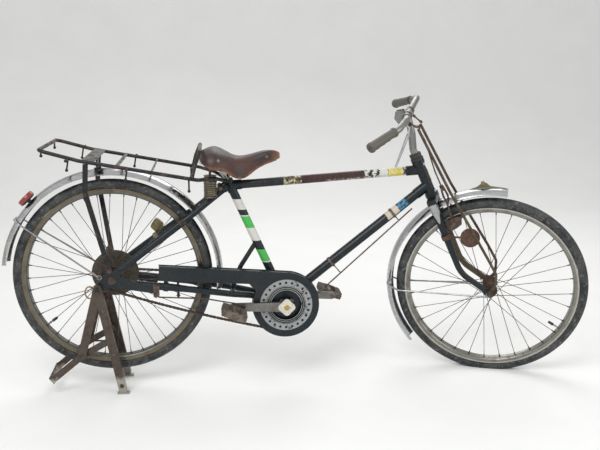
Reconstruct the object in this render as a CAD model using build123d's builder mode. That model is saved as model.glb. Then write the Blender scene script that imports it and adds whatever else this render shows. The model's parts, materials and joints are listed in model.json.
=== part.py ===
from build123d import *
import math
import os

os.makedirs("parts", exist_ok=True)

# All sizes are millimetres. The drawing has X forward from the rear axle, Y to the left
# of the middle plane and Z up from the floor. Every piece is made at its final place,
# where the middle of the whole box stands on the origin.
BOX_MIDDLE_X = 624.0
BOX_MIDDLE_Y = 16.0

# Small gap between pieces that sit on each other, and between a bore and its axle
SEAT = 0.3
RUNNING = 1.0

# Wheels
TYRE_RADIUS = 330.0
TYRE_HALF_WIDTH = 20.0
RIM_OUTER = TYRE_RADIUS - 31.0
RIM_INNER = RIM_OUTER - 19.0
RIM_HALF_WIDTH = 17.0
RIM_FLAT = 8.0
# The rear wheel hangs clear of the floor, and the soft front tyre is pressed flat on it
REAR_AXLE_HEIGHT = TYRE_RADIUS + 61.0
FRONT_AXLE_X = 1306.0
FRONT_AXLE_HEIGHT = TYRE_RADIUS - 10.0
AXLE_RADIUS = 5.0
NUT_RADIUS = 9.0
HUB_RADIUS = 15.0
FLANGE_RADIUS = 26.0
FLANGE_THICKNESS = 3.0
FRONT_FLANGE_Y = 32.0
REAR_FLANGE_Y = 28.0
SPOKE_RADIUS = 1.1
FRONT_SPOKES = 32
REAR_SPOKES = 40

# Steering head
HEAD_ANGLE = 66.0
HEAD_LOW_X = 1084.0
HEAD_LOW_Z = 650.0
HEAD_LENGTH = 120.0
HEAD_RADIUS = 18.0
STEERER_RADIUS = 12.5
REST_TURN = 21.2

# Frame tubes
TOP_TUBE_RADIUS = 14.5
DOWN_TUBE_RADIUS = 16.0
SEAT_TUBE_RADIUS = 14.5
POST_RADIUS = 12.6
STAY_TOP_RADIUS = 10.0
STAY_LOW_RADIUS = 12.5
CHAIN_STAY_RADIUS = 11.0
LUG_WALL = 2.0
LUG_LENGTH = 52.0
LUG_ROOT = 28.0
SEAT_LUG_Z = 692.0
SEAT_TOP_Z = 712.0
CRANK_X = 575.0
CRANK_Z = 287.0
SHELL_RADIUS = 23.0
SHELL_HALF = 35.0
CRANK_AXLE_RADIUS = 8.0
CUP_RADIUS = 20.0
CUP_HALF = 39.0
DROPOUT_Y = 64.0
DROPOUT_THICKNESS = 6.0

# Drive
CHAIN_PITCH = 12.7
WHEEL_TEETH = 48
SPROCKET_TEETH = 19
CHAIN_Y = -45.0
CHAIN_HALF_WIDTH = 4.5
LINK_DEPTH = 4.3
LINK_WAIST = 3.1
CRANK_Y = 80.0
CRANK_THICKNESS = 13.0
RIGHT_CRANK = (-178.0, 4.0)
LEFT_CRANK = (177.0, -15.0)
CASE_RADIUS = 113.0
CASE_FRONT_Y = -63.0
CASE_BACK_Y = -41.5
CASE_WALL = 1.5

# Guards
GUARD_OUTER = TYRE_RADIUS + 35.0
GUARD_HALF = 33.0
GUARD_DROP = 16.0
GUARD_WALL = 1.5

# Fork and bar
BLADE_Y = 48.0
BLADE_END_Y = 54.0
FORK_PLATE_Y = 56.0
FORK_PLATE = 5.0
CROWN_HIGH = -9.0
CROWN_LOW = -27.0
BAR_RADIUS = 11.0
SLEEVE_HALF = 48.0
LONG_STAY_RADIUS = 4.75

# Carrier
RAIL_RADIUS = 6.0
RAIL_HALF = 155.0

# Stand
STAND_WEB_Y = 83.0
STAND_DEPTH = 13.0
STAND_WIDTH = 27.0
STAND_WALL = 3.0
PIVOT_RADIUS = 4.0


def head_point(up, out=0.0):
    """X and Z at a distance up the steering axis and a distance in front of it."""
    lean = math.radians(HEAD_ANGLE)
    x = HEAD_LOW_X - up * math.cos(lean) + out * math.sin(lean)
    z = HEAD_LOW_Z + up * math.sin(lean) + out * math.cos(lean)
    return x, z


REAR = (0.0, REAR_AXLE_HEIGHT)
FRONT = (FRONT_AXLE_X, FRONT_AXLE_HEIGHT)
CRANK = (CRANK_X, CRANK_Z)
HEAD_DIRECTION = (
    -math.cos(math.radians(HEAD_ANGLE)),
    0.0,
    math.sin(math.radians(HEAD_ANGLE)),
)
FRAME = Location((-BOX_MIDDLE_X, -BOX_MIDDLE_Y, 0.0))
TURNED = (
    FRAME
    * Location((HEAD_LOW_X, 0.0, HEAD_LOW_Z))
    * Location((0.0, 0.0, 0.0), HEAD_DIRECTION, -REST_TURN)
    * Location((-HEAD_LOW_X, 0.0, -HEAD_LOW_Z))
)


def near(base, ahead, up):
    """X and Z at a distance ahead of a base and above it."""
    return base[0] + ahead, base[1] + up


def around(base, radius, angle):
    """X and Z at a radius and an angle from a base."""
    turn = math.radians(angle)
    return base[0] + radius * math.cos(turn), base[1] + radius * math.sin(turn)


def at(flat, y):
    """Point of the drawing from its X and Z, at y."""
    return flat[0], y, flat[1]


def along(start, end, distance):
    """Point at a distance from start towards end."""
    run = Vector(*end) - Vector(*start)
    p = Vector(*start) + run * (distance / run.length)
    return p.X, p.Y, p.Z


def mix_points(start, end, share):
    """Point between two flat points."""
    return start[0] + share * (end[0] - start[0]), start[1] + share * (end[1] - start[1])


def foot_on(start, end, point):
    """Point of a straight line that lies nearest to another point."""
    run = (Vector(*end) - Vector(*start)).normalized()
    return along(start, end, run.dot(Vector(*point) - Vector(*start)))


def spot(where, point):
    """A point of the drawing, at its place in the part."""
    return (where * Location(point)).position


def side_plane(where, y):
    """Upright plane at y, with X to the right and Z up."""
    drawn = Plane(origin=(0, y, 0), x_dir=(1, 0, 0), z_dir=(0, -1, 0))
    return Plane(where * drawn.location)


def axle_plane(where, centre, angle):
    """Plane through an axle along Y. Its X is the radius at the angle, its Y is Y."""
    turn = math.radians(angle)
    out = Vector(math.cos(turn), 0, math.sin(turn))
    drawn = Plane(origin=at(centre, 0), x_dir=out, z_dir=out.cross(Vector(0, 1, 0)))
    return Plane(where * drawn.location)


def axle_axis(where, centre):
    """Axis of an axle, so that a positive turn goes from X towards Z."""
    start = spot(where, at(centre, 0))
    end = spot(where, at(centre, -1))
    return Axis(origin=start, direction=end - start)


def pin(where, start, end, radius, mode=Mode.ADD):
    """Straight round bar between two points."""
    run = Vector(*end) - Vector(*start)
    drawn = Plane(origin=start, z_dir=run)
    low = (Align.CENTER, Align.CENTER, Align.MIN)
    with Locations(where * drawn.location):
        Cylinder(radius, run.length, align=low, mode=mode)


def taper(where, start, end, start_radius, end_radius):
    """Round bar that grows or shrinks evenly between two points."""
    run = Vector(*end) - Vector(*start)
    drawn = Plane(origin=start, z_dir=run)
    low = (Align.CENTER, Align.CENTER, Align.MIN)
    with Locations(where * drawn.location):
        Cone(start_radius, end_radius, run.length, align=low)


def ring(where, start, end, outer, bore):
    """Round sleeve between two points, with its bore cut through."""
    pin(where, start, end, outer)
    pin(where, along(start, end, -1), along(end, start, -1), bore, Mode.SUBTRACT)


def ball(where, point, radius):
    """Round knob."""
    with Locations(where * Location(point)):
        Sphere(radius)


def bent_bar(where, points, radius, bend, mode=Mode.ADD):
    """Round bar along straight runs joined by bends of one radius."""
    with BuildLine() as run:
        FilletPolyline(*[spot(where, p) for p in points], radius=bend)
    path = run.wires()[0]
    with BuildSketch(Plane(origin=path @ 0, z_dir=path % 0)) as section:
        Circle(radius)
    sweep(sections=section.sketch, path=path, mode=mode)


def flat_bar(where, points, width, thickness, across, bend=0.0, mode=Mode.ADD):
    """Flat bar along straight runs, its width along the across direction."""
    with BuildLine() as run:
        if bend > 0:
            FilletPolyline(*[spot(where, p) for p in points], radius=bend)
        else:
            Polyline(*[spot(where, p) for p in points])
    path = run.wires()[0]
    side = spot(where, across) - spot(where, (0, 0, 0))
    with BuildSketch(Plane(origin=path @ 0, x_dir=side, z_dir=path % 0)) as section:
        Rectangle(width, thickness)
    sweep(sections=section.sketch, path=path, transition=Transition.RIGHT, mode=mode)


def plate(where, y, outline, thickness, corner=0.0, mode=Mode.ADD):
    """Upright flat plate centred on y, with straight sides and round corners."""
    with BuildSketch(side_plane(where, y)) as face:
        with BuildLine():
            Polyline(*outline, close=True)
        make_face()
        if corner > 0:
            fillet(face.vertices(), radius=corner)
    extrude(face.sketch, amount=thickness / 2, both=True, mode=mode)


def strap(where, y, stops, thickness, mode=Mode.ADD):
    """Flat link centred on y, round at each stop of x, z and radius."""
    with BuildSketch(side_plane(where, y)) as face:
        for x, z, radius in stops:
            with Locations((x, z)):
                Circle(radius)
        for (x1, z1, r1), (x2, z2, r2) in zip(stops, stops[1:]):
            run = Vector(x2 - x1, z2 - z1)
            lean = math.atan2(run.Y, run.X)
            spread = math.acos((r1 - r2) / run.length)
            up = lean + spread
            down = lean - spread
            Polygon(
                (x1 + r1 * math.cos(up), z1 + r1 * math.sin(up)),
                (x2 + r2 * math.cos(up), z2 + r2 * math.sin(up)),
                (x2 + r2 * math.cos(down), z2 + r2 * math.sin(down)),
                (x1 + r1 * math.cos(down), z1 + r1 * math.sin(down)),
                align=None,
            )
    extrude(face.sketch, amount=thickness / 2, both=True, mode=mode)


def spun(where, centre, profile, start=0.0, arc=360.0, mode=Mode.ADD):
    """Profile of radius and width points, turned about an axle."""
    with BuildSketch(axle_plane(where, centre, start)) as face:
        with BuildLine():
            Polyline(*profile, close=True)
        make_face()
    revolve(face.sketch, axis=axle_axis(where, centre), revolution_arc=arc, mode=mode)


def lug(where, start, towards, length, tube_radius):
    """Sleeve for a tube's end. Its mouth is scooped at the sides, so that it has two tips."""
    end = along(start, towards, length)
    pin(where, start, end, tube_radius + SEAT + LUG_WALL)
    scoop = 0.75 * tube_radius
    pin(where, (end[0], -40, end[2]), (end[0], 40, end[2]), scoop, Mode.SUBTRACT)


def lug_bore(where, start, towards, root, length, tube_radius):
    """Bore of a lug, from its root out through its mouth."""
    far = along(start, towards, length + 20)
    pin(where, along(start, towards, root), far, tube_radius + SEAT, Mode.SUBTRACT)


def seat_tube_x(z):
    """X of the seat tube's middle at a height. It lies parallel to the steering head."""
    return CRANK_X - (z - CRANK_Z) / math.tan(math.radians(HEAD_ANGLE))


# Where the frame's tubes meet
HEAD_LOW = at(head_point(0), 0)
HEAD_TOP = at(head_point(HEAD_LENGTH), 0)
CRANK_MIDDLE = at(CRANK, 0)
SEAT_TOP = (seat_tube_x(SEAT_TOP_Z), 0, SEAT_TOP_Z)
TOP_BACK = (seat_tube_x(SEAT_LUG_Z), 0, SEAT_LUG_Z)
TOP_FRONT = at(head_point(HEAD_LENGTH - 28), 0)
DOWN_BACK = (CRANK_X, 0, CRANK_Z + 4)
DOWN_FRONT = at(head_point(34), 0)
SEAT_BASE = (SEAT_TOP[0], SEAT_TOP_Z)
STAY_BOLT = (seat_tube_x(SEAT_TOP_Z - 26) - 22, SEAT_TOP_Z - 26)
EAR_HALF = 24.0
EYE_THICKNESS = 9.0
SEAT_LUG_LENGTH = 38.0
SEAT_LUG_ROOT = 24.0
SHELL_LUG_LENGTH = 50.0

with BuildPart() as head_tube:
    pin(FRAME, HEAD_LOW, HEAD_TOP, HEAD_RADIUS)
    for end, other, radius in (
        (TOP_FRONT, TOP_BACK, TOP_TUBE_RADIUS),
        (DOWN_FRONT, DOWN_BACK, DOWN_TUBE_RADIUS),
    ):
        lug(FRAME, end, other, LUG_LENGTH, radius)
    # Bands of the lugs, and the races at both ends: low, high and radius
    for low, high, radius in (
        (-9, 3, HEAD_RADIUS + 4),
        (3, 12, HEAD_RADIUS + LUG_WALL),
        (HEAD_LENGTH - 12, HEAD_LENGTH - 3, HEAD_RADIUS + LUG_WALL),
        (HEAD_LENGTH - 3, HEAD_LENGTH + 10, HEAD_RADIUS + 4),
    ):
        pin(FRAME, at(head_point(low), 0), at(head_point(high), 0), radius)
    for end, other, radius in (
        (TOP_FRONT, TOP_BACK, TOP_TUBE_RADIUS),
        (DOWN_FRONT, DOWN_BACK, DOWN_TUBE_RADIUS),
    ):
        lug_bore(FRAME, end, other, LUG_ROOT, LUG_LENGTH, radius)
    pin(
        FRAME,
        at(head_point(-20), 0),
        at(head_point(HEAD_LENGTH + 20), 0),
        STEERER_RADIUS + RUNNING,
        Mode.SUBTRACT,
    )
head_tube.part.label = "head_tube"
export_step(head_tube.part, "parts/head_tube.step")

with BuildPart() as top_tube:
    back = along(TOP_BACK, TOP_FRONT, SEAT_LUG_ROOT + SEAT)
    front = along(TOP_FRONT, TOP_BACK, LUG_ROOT + SEAT)
    pin(FRAME, back, front, TOP_TUBE_RADIUS)
top_tube.part.label = "top_tube"
export_step(top_tube.part, "parts/top_tube.step")

with BuildPart() as down_tube:
    back = along(DOWN_BACK, DOWN_FRONT, LUG_ROOT + SEAT)
    front = along(DOWN_FRONT, DOWN_BACK, LUG_ROOT + SEAT)
    pin(FRAME, back, front, DOWN_TUBE_RADIUS)
down_tube.part.label = "down_tube"
export_step(down_tube.part, "parts/down_tube.step")

with BuildPart() as bottom_bracket_shell:
    pin(FRAME, at(CRANK, -SHELL_HALF), at(CRANK, SHELL_HALF), SHELL_RADIUS)
    lug(FRAME, DOWN_BACK, DOWN_FRONT, SHELL_LUG_LENGTH, DOWN_TUBE_RADIUS)
    lug(FRAME, CRANK_MIDDLE, SEAT_TOP, SHELL_LUG_LENGTH, SEAT_TUBE_RADIUS)
    lug_bore(FRAME, DOWN_BACK, DOWN_FRONT, LUG_ROOT, SHELL_LUG_LENGTH, DOWN_TUBE_RADIUS)
    lug_bore(FRAME, CRANK_MIDDLE, SEAT_TOP, LUG_ROOT, SHELL_LUG_LENGTH, SEAT_TUBE_RADIUS)
    # Bearing cups stand out of both ends
    pin(FRAME, at(CRANK, -CUP_HALF), at(CRANK, CUP_HALF), CUP_RADIUS)
    through = (at(CRANK, -CUP_HALF - 1), at(CRANK, CUP_HALF + 1))
    pin(FRAME, *through, CRANK_AXLE_RADIUS + SEAT, Mode.SUBTRACT)
bottom_bracket_shell.part.label = "bottom_bracket_shell"
export_step(bottom_bracket_shell.part, "parts/bottom_bracket_shell.step")

with BuildPart() as seat_tube:
    start = along(CRANK_MIDDLE, SEAT_TOP, LUG_ROOT + SEAT)
    pin(FRAME, start, SEAT_TOP, SEAT_TUBE_RADIUS)
    lug_low = along(SEAT_TOP, CRANK_MIDDLE, 44)
    pin(FRAME, lug_low, SEAT_TOP, SEAT_TUBE_RADIUS + LUG_WALL)
    lug(FRAME, TOP_BACK, TOP_FRONT, SEAT_LUG_LENGTH, TOP_TUBE_RADIUS)
    pin(FRAME, at(STAY_BOLT, -EAR_HALF), at(STAY_BOLT, EAR_HALF), 9)
    eye_face = EAR_HALF + EYE_THICKNESS + 2 * SEAT
    pin(FRAME, at(STAY_BOLT, -eye_face), at(STAY_BOLT, eye_face), 4)
    for side in (-1, 1):
        pin(FRAME, at(STAY_BOLT, side * eye_face), at(STAY_BOLT, side * (eye_face + 5)), 8)
    lug_bore(
        FRAME, TOP_BACK, TOP_FRONT, SEAT_LUG_ROOT, SEAT_LUG_LENGTH, TOP_TUBE_RADIUS
    )
    low = along(SEAT_TOP, CRANK_MIDDLE, 90)
    pin(FRAME, low, along(SEAT_TOP, CRANK_MIDDLE, -60), POST_RADIUS + SEAT, Mode.SUBTRACT)
seat_tube.part.label = "seat_tube"
export_step(seat_tube.part, "parts/seat_tube.step")

# Chain stays are thin at the crank and thicker at the wheel. Both pairs of stays are
# half lapped over the dropouts.
CHAIN_STAY_END_RADIUS = 12.5
STAY_BEND = (392, 44, 327)
STAY_KINK = (194, 54, 359)
CHAIN_STAY_END = (26, 60, REAR_AXLE_HEIGHT - 10)
STAY_BRIDGE = (395, 331)
BRIDGE_RADIUS = 8.0
ARM_END = (132, REAR_AXLE_HEIGHT - 37)
SEAT_STAY_TAB = near(REAR, 20, 33)
LEG_TAB = near(REAR, -6, 33)
GUARD_TAB = near(REAR, -40, 13)
PIVOT = near(REAR, -47, -23)
# Straps that make up a dropout, as stops of x, z and radius
DROPOUT_STRAPS = (
    ((*PIVOT, 13), (*REAR, 22), (*ARM_END, 10)),
    ((*REAR, 22), (*SEAT_STAY_TAB, 10)),
    ((*REAR, 22), (*LEG_TAB, 10)),
    ((*REAR, 22), (*GUARD_TAB, 9)),
)
DROPOUT_FACE = DROPOUT_Y + DROPOUT_THICKNESS / 2
LAP = DROPOUT_FACE - DROPOUT_THICKNESS - SEAT


def dropout_form(where, y, thickness, grow=0.0, mode=Mode.ADD):
    """Outline of a dropout with its arms, as a plate centred on y."""
    for stops in DROPOUT_STRAPS:
        strap(where, y, [(x, z, radius + grow) for x, z, radius in stops], thickness, mode)


def mirrored(points, side):
    """The same points on one side of the middle plane."""
    return [(x, side * y, z) for x, y, z in points]


# Seat stays: thin above the rear guard and swaged thicker below it
STAY_KNEE = near(REAR, 272, 215)
STAY_END = near(REAR, 22, 32)
KNEE_Y = 45.0
STAY_END_Y = 63.0
GUARD_BRIDGE = around(REAR, GUARD_OUTER + SEAT + 6, 38.2)
with BuildPart() as seat_stays:
    for side in (-1, 1):
        top = at(STAY_BOLT, side * (EAR_HALF + SEAT + STAY_TOP_RADIUS))
        knee = at(STAY_KNEE, side * KNEE_Y)
        end = at(STAY_END, side * STAY_END_Y)
        bent_bar(FRAME, [top, knee, along(knee, end, 24)], STAY_TOP_RADIUS, 60)
        taper(
            FRAME,
            along(knee, end, 12),
            along(knee, end, 38),
            STAY_TOP_RADIUS,
            STAY_LOW_RADIUS,
        )
        pin(FRAME, along(knee, end, 38), end, STAY_LOW_RADIUS)
        eye_y = side * (EAR_HALF + SEAT + EYE_THICKNESS / 2)
        strap(FRAME, eye_y, [(*STAY_BOLT, 13)], EYE_THICKNESS)
        outside = side * (EAR_HALF + SEAT + EYE_THICKNESS + 15)
        strap(FRAME, outside, [(*STAY_BOLT, 14)], 30, Mode.SUBTRACT)
        pin(FRAME, at(STAY_BOLT, side * 20), at(STAY_BOLT, side * 60), 4.3, Mode.SUBTRACT)
        dropout_form(FRAME, side * (LAP + 10), 20, SEAT, Mode.SUBTRACT)
    pin(FRAME, at(GUARD_BRIDGE, -KNEE_Y), at(GUARD_BRIDGE, KNEE_Y), 6)
seat_stays.part.label = "seat_stays"
export_step(seat_stays.part, "parts/seat_stays.step")

with BuildPart() as chain_stays:
    for side in (-1, 1):
        front = [(546, 23, 298), (452, 30, 317), STAY_BEND, along(STAY_BEND, STAY_KINK, 160)]
        bent_bar(FRAME, mirrored(front, side), CHAIN_STAY_RADIUS, 120)
        swage = [along(STAY_BEND, STAY_KINK, 150), along(STAY_BEND, STAY_KINK, 185)]
        taper(FRAME, *mirrored(swage, side), CHAIN_STAY_RADIUS, CHAIN_STAY_END_RADIUS)
        rear = [along(STAY_BEND, STAY_KINK, 185), STAY_KINK, CHAIN_STAY_END]
        bent_bar(FRAME, mirrored(rear, side), CHAIN_STAY_END_RADIUS, 120)
        dropout_form(FRAME, side * (LAP + 10), 20, SEAT, Mode.SUBTRACT)
    pin(FRAME, at(STAY_BRIDGE, -44), at(STAY_BRIDGE, 44), BRIDGE_RADIUS)
    pin(FRAME, at(CRANK, -44), at(CRANK, 44), SHELL_RADIUS + SEAT, Mode.SUBTRACT)
chain_stays.part.label = "chain_stays"
export_step(chain_stays.part, "parts/chain_stays.step")

with BuildPart() as frame_brace:
    foot = at(STAY_BRIDGE, 0)
    bent_bar(FRAME, [(484, 0, 504), (424, 0, 410), foot], 8, 60)
    pin(FRAME, CRANK_MIDDLE, SEAT_TOP, SEAT_TUBE_RADIUS + SEAT, Mode.SUBTRACT)
    pin(FRAME, at(STAY_BRIDGE, -20), at(STAY_BRIDGE, 20), BRIDGE_RADIUS + SEAT, Mode.SUBTRACT)
frame_brace.part.label = "frame_brace"
export_step(frame_brace.part, "parts/frame_brace.step")

with BuildPart() as dropouts:
    for side in (-1, 1):
        dropout_form(FRAME, side * DROPOUT_Y, DROPOUT_THICKNESS)
        pin(FRAME, at(REAR, side * 55), at(REAR, side * 72), AXLE_RADIUS + SEAT, Mode.SUBTRACT)
        inner = DROPOUT_FACE - DROPOUT_THICKNESS
        pin(FRAME, at(PIVOT, side * inner), at(PIVOT, side * 91), PIVOT_RADIUS)
        pin(FRAME, at(PIVOT, side * 88), at(PIVOT, side * 93), 7)
dropouts.part.label = "dropouts"
export_step(dropouts.part, "parts/dropouts.step")

# Saddle
POST_CLAMP = along(SEAT_TOP, CRANK_MIDDLE, -34)
SPRING_X = 328.0
SPRING_Y = 64.0
SPRING_LOW = 664.0
SPRING_HIGH = 717.0
LEATHER = 5.0
# Arched sections from the back to the nose: x, half width, height of the crown and the rim
SADDLE_SECTIONS = (
    (296, 62, 797, 786),
    (312, 92, 813, 770),
    (340, 103, 821, 757),
    (380, 86, 808, 748),
    (423, 50, 789, 722),
    (478, 29, 799, 750),
    (530, 23, 809, 768),
    (560, 16, 799, 784),
)
SADDLE_RAILS = ((328, 70, 766), (352, 36, 750), (392, 36, 744), (450, 20, 754), (532, 6, 774))


def saddle_form(shrink, drop, mode=Mode.ADD):
    """Loft through the saddle's arches, made smaller by the leather for its inside."""
    sections = []
    for x, half, crown, rim in SADDLE_SECTIONS:
        place = Plane(FRAME * Plane(origin=(x, 0, 0), x_dir=(0, 1, 0), z_dir=(1, 0, 0)).location)
        with BuildSketch(place) as arch:
            with BuildLine():
                low = rim - drop
                Line((-half + shrink, low), (half - shrink, low))
                ThreePointArc((half - shrink, low), (0, crown - shrink), (shrink - half, low))
            make_face()
        sections.append(arch.sketch)
    loft(sections, mode=mode)


with BuildPart() as seat_post:
    pin(
        FRAME,
        along(SEAT_TOP, CRANK_MIDDLE, 80),
        along(SEAT_TOP, CRANK_MIDDLE, -38),
        POST_RADIUS,
    )
    clamp_half = SADDLE_RAILS[2][1] - 4 - SEAT
    middle = (POST_CLAMP[0], POST_CLAMP[2])
    pin(FRAME, at(middle, -clamp_half), at(middle, clamp_half), 14)
seat_post.part.label = "seat_post"
export_step(seat_post.part, "parts/seat_post.step")

with BuildPart() as saddle_leather:
    saddle_form(0, 0)
    saddle_form(LEATHER, 2, Mode.SUBTRACT)
saddle_leather.part.label = "saddle_leather"
export_step(saddle_leather.part, "parts/saddle_leather.step")

with BuildPart() as saddle_frame:
    spring_rod = [
        (SPRING_X, SPRING_Y, SPRING_HIGH + SEAT),
        (SPRING_X, SPRING_Y, 752),
        (SPRING_X, 70, 768),
    ]
    for side in (-1, 1):
        bent_bar(FRAME, mirrored(SADDLE_RAILS, side), 4, 12)
        bent_bar(
            FRAME,
            mirrored(spring_rod, side),
            4,
            8,
        )
    # Bar across under the back of the leather, and bolt at the nose
    pin(FRAME, (SPRING_X, -83.9, 770), (SPRING_X, 83.9, 770), 5)
    pin(FRAME, (532, -10, 774), (532, 10, 774), 6)
saddle_frame.part.label = "saddle_frame"
export_step(saddle_frame.part, "parts/saddle_frame.step")

with BuildPart() as saddle_springs:
    for side in (-1, 1):
        low = (SPRING_X, side * SPRING_Y, SPRING_LOW)
        high = (SPRING_X, side * SPRING_Y, SPRING_HIGH)
        pin(FRAME, low, high, 18)
        # Coils that show as ridges on the can
        for turn in range(5):
            z = SPRING_LOW + 4 + turn * 11
            pin(FRAME, (SPRING_X, side * SPRING_Y, z), (SPRING_X, side * SPRING_Y, z + 5), 19.5)
saddle_springs.part.label = "saddle_springs"
export_step(saddle_springs.part, "parts/saddle_springs.step")


# Guards
def guard_shell(where, centre, start, arc):
    """Arched sheet over a tyre, with its edges turned in to a lip."""
    low = GUARD_OUTER - GUARD_DROP
    lip = 4.0
    with BuildSketch(axle_plane(where, centre, start)) as face:
        with BuildLine():
            ThreePointArc((low, -GUARD_HALF), (GUARD_OUTER, 0), (low, GUARD_HALF))
            Polyline(
                (low, GUARD_HALF),
                (low - lip, GUARD_HALF),
                (low - lip, GUARD_HALF - 2 * GUARD_WALL),
                (low - GUARD_WALL, GUARD_HALF - 2 * GUARD_WALL),
            )
            ThreePointArc(
                (low - GUARD_WALL, GUARD_HALF - 2 * GUARD_WALL),
                (GUARD_OUTER - GUARD_WALL, 0),
                (low - GUARD_WALL, 2 * GUARD_WALL - GUARD_HALF),
            )
            Polyline(
                (low - GUARD_WALL, 2 * GUARD_WALL - GUARD_HALF),
                (low - lip, 2 * GUARD_WALL - GUARD_HALF),
                (low - lip, -GUARD_HALF),
                (low, -GUARD_HALF),
            )
        make_face()
    revolve(face.sketch, axis=axle_axis(where, centre), revolution_arc=arc)


GUARD_START = -8.0
GUARD_TAIL = 173.0
with BuildPart() as rear_mudguard:
    guard_shell(FRAME, REAR, GUARD_START, GUARD_TAIL - GUARD_START)
    # Both corners of the tail are cut off, so that it comes to a blunt point
    out = Vector(*at(around((0, 0), 1, GUARD_TAIL), 0))
    tail = Plane(origin=at(around(REAR, GUARD_OUTER, GUARD_TAIL), 0), x_dir=(0, 1, 0), z_dir=out)
    with BuildSketch(Plane(FRAME * tail.location)) as corners:
        for side in (-1, 1):
            Polygon(
                (side * 7, -10),
                (side * 11, 4),
                (side * 36, 42),
                (side * 50, 42),
                (side * 50, -10),
                align=None,
            )
    extrude(corners.sketch, amount=40, both=True, mode=Mode.SUBTRACT)
rear_mudguard.part.label = "rear_mudguard"
export_step(rear_mudguard.part, "parts/rear_mudguard.step")

STAY_WIRE = 3.0
GUARD_STAY_ANGLE = 146.7
with BuildPart() as rear_guard_stays:
    eye_y = DROPOUT_FACE + SEAT + 1.5
    over = around(REAR, GUARD_OUTER + SEAT + STAY_WIRE + 0.2, GUARD_STAY_ANGLE)
    beside = around(REAR, GUARD_OUTER - GUARD_DROP, GUARD_STAY_ANGLE)
    half = [
        at(GUARD_TAB, eye_y + 1.5),
        at(beside, GUARD_HALF + STAY_WIRE + 2.5),
        at(over, 21),
        at(over, 0),
    ]
    for side in (-1, 1):
        bent_bar(FRAME, mirrored(half, side), STAY_WIRE, 8)
        strap(FRAME, side * eye_y, [(*GUARD_TAB, 8)], 3)
rear_guard_stays.part.label = "rear_guard_stays"
export_step(rear_guard_stays.part, "parts/rear_guard_stays.step")

REFLECTOR_ANGLE = 135.0
with BuildPart() as tail_reflector:
    # Foot, back shell, rim and lens: start and end above the guard, and their radii
    for low, high, low_radius, high_radius in (
        (SEAT, 8, 7, 7),
        (4, 14, 22, 28),
        (14, 22, 28, 28),
        (22, 25, 25, 22),
    ):
        start = at(around(REAR, GUARD_OUTER + low, REFLECTOR_ANGLE), 0)
        end = at(around(REAR, GUARD_OUTER + high, REFLECTOR_ANGLE), 0)
        if low_radius == high_radius:
            pin(FRAME, start, end, low_radius)
        else:
            taper(FRAME, start, end, low_radius, high_radius)
tail_reflector.part.label = "tail_reflector"
export_step(tail_reflector.part, "parts/tail_reflector.step")

# Carrier
RAIL_BACK = at(near(REAR, -70, 409), RAIL_HALF)
RAIL_FRONT = at(near(REAR, 290, 343), RAIL_HALF - 2)
REAR_BAR = near(REAR, -190, 443)
RAIL_RUN = Vector(*RAIL_FRONT) - Vector(*RAIL_BACK)
RAIL_NORMAL = Vector(-RAIL_RUN.Z, 0, RAIL_RUN.X).normalized()
FLAT_RISE = 5.0
FLAT_THICKNESS = 3.0
PEG_RADIUS = 2.75
PEG_KNOB = 5.0
SIDE_RAIL = (
    at(REAR_BAR, 0),
    at(REAR_BAR, RAIL_HALF),
    RAIL_BACK,
    RAIL_FRONT,
    at(near(REAR, 345, 336), 77),
    (384, SEAT_TUBE_RADIUS + LUG_WALL + RAIL_RADIUS + SEAT, 709),
)


def rail_point(x, rise, y=RAIL_HALF):
    """Point at x on a side rail's straight run, raised square to the run."""
    share = (x - RAIL_BACK[0]) / (RAIL_FRONT[0] - RAIL_BACK[0])
    z = RAIL_BACK[2] + share * (RAIL_FRONT[2] - RAIL_BACK[2])
    return x + rise * RAIL_NORMAL.X, y, z + rise * RAIL_NORMAL.Z


with BuildPart() as carrier_frame:
    for side in (-1, 1):
        bent_bar(FRAME, mirrored(SIDE_RAIL, side), RAIL_RADIUS, 20)
    # Flats across the rails: x of the middle, and width
    for x, width in ((-43.5, 37), (43.5, 11), (148, 6)):
        ends = [rail_point(x, FLAT_RISE, -RAIL_HALF), rail_point(x, FLAT_RISE, RAIL_HALF)]
        flat_bar(FRAME, ends, width, FLAT_THICKNESS, (RAIL_NORMAL.Z, 0, -RAIL_NORMAL.X))
    # Foot on the guard under the wide flat
    low = around(REAR, GUARD_OUTER + SEAT, 95.6)
    pin(FRAME, at(low, 0), at(around(REAR, GUARD_OUTER + 4, 95.6), 0), 12)
    under_flat = rail_point(low[0], FLAT_RISE, 0)
    flat_bar(FRAME, [at(near(low, 0, 2), 0), under_flat], 22, 3, (0, 1, 0))
    # Pegs for a strap: on the rails x and y of the ball, and on the bar at the back
    for side in (-1, 1):
        for x, y in ((-102, 198), (74, 188)):
            start = rail_point(x, 0, side * RAIL_HALF)
            end = rail_point(x, 0, side * y)
            pin(FRAME, start, end, PEG_RADIUS)
            ball(FRAME, end, PEG_KNOB)
        for top, y, drop in ((REAR_BAR, 114, 22), (near(REAR, 262, 347), RAIL_HALF, 38)):
            end = at(near(top, 0, -drop), side * y)
            pin(FRAME, at(top, side * y), end, PEG_RADIUS)
            ball(FRAME, end, PEG_KNOB)
carrier_frame.part.label = "carrier_frame"
export_step(carrier_frame.part, "parts/carrier_frame.step")

LEG_Y = DROPOUT_FACE + SEAT + 2.5
with BuildPart() as carrier_legs:
    for side in (-1, 1):
        top = rail_point(-50, -RAIL_RADIUS - SEAT - 0.5)
        leg = [
            top,
            at(near(REAR, -58, 309), 148),
            at(near(REAR, -12, 60), LEG_Y),
            at(LEG_TAB, LEG_Y),
        ]
        flat_bar(FRAME, mirrored(leg, side), 16, 5, (1, 0, 0), 16)
        strap(FRAME, side * LEG_Y, [(*LEG_TAB, 8)], 5)
carrier_legs.part.label = "carrier_legs"
export_step(carrier_legs.part, "parts/carrier_legs.step")

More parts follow.
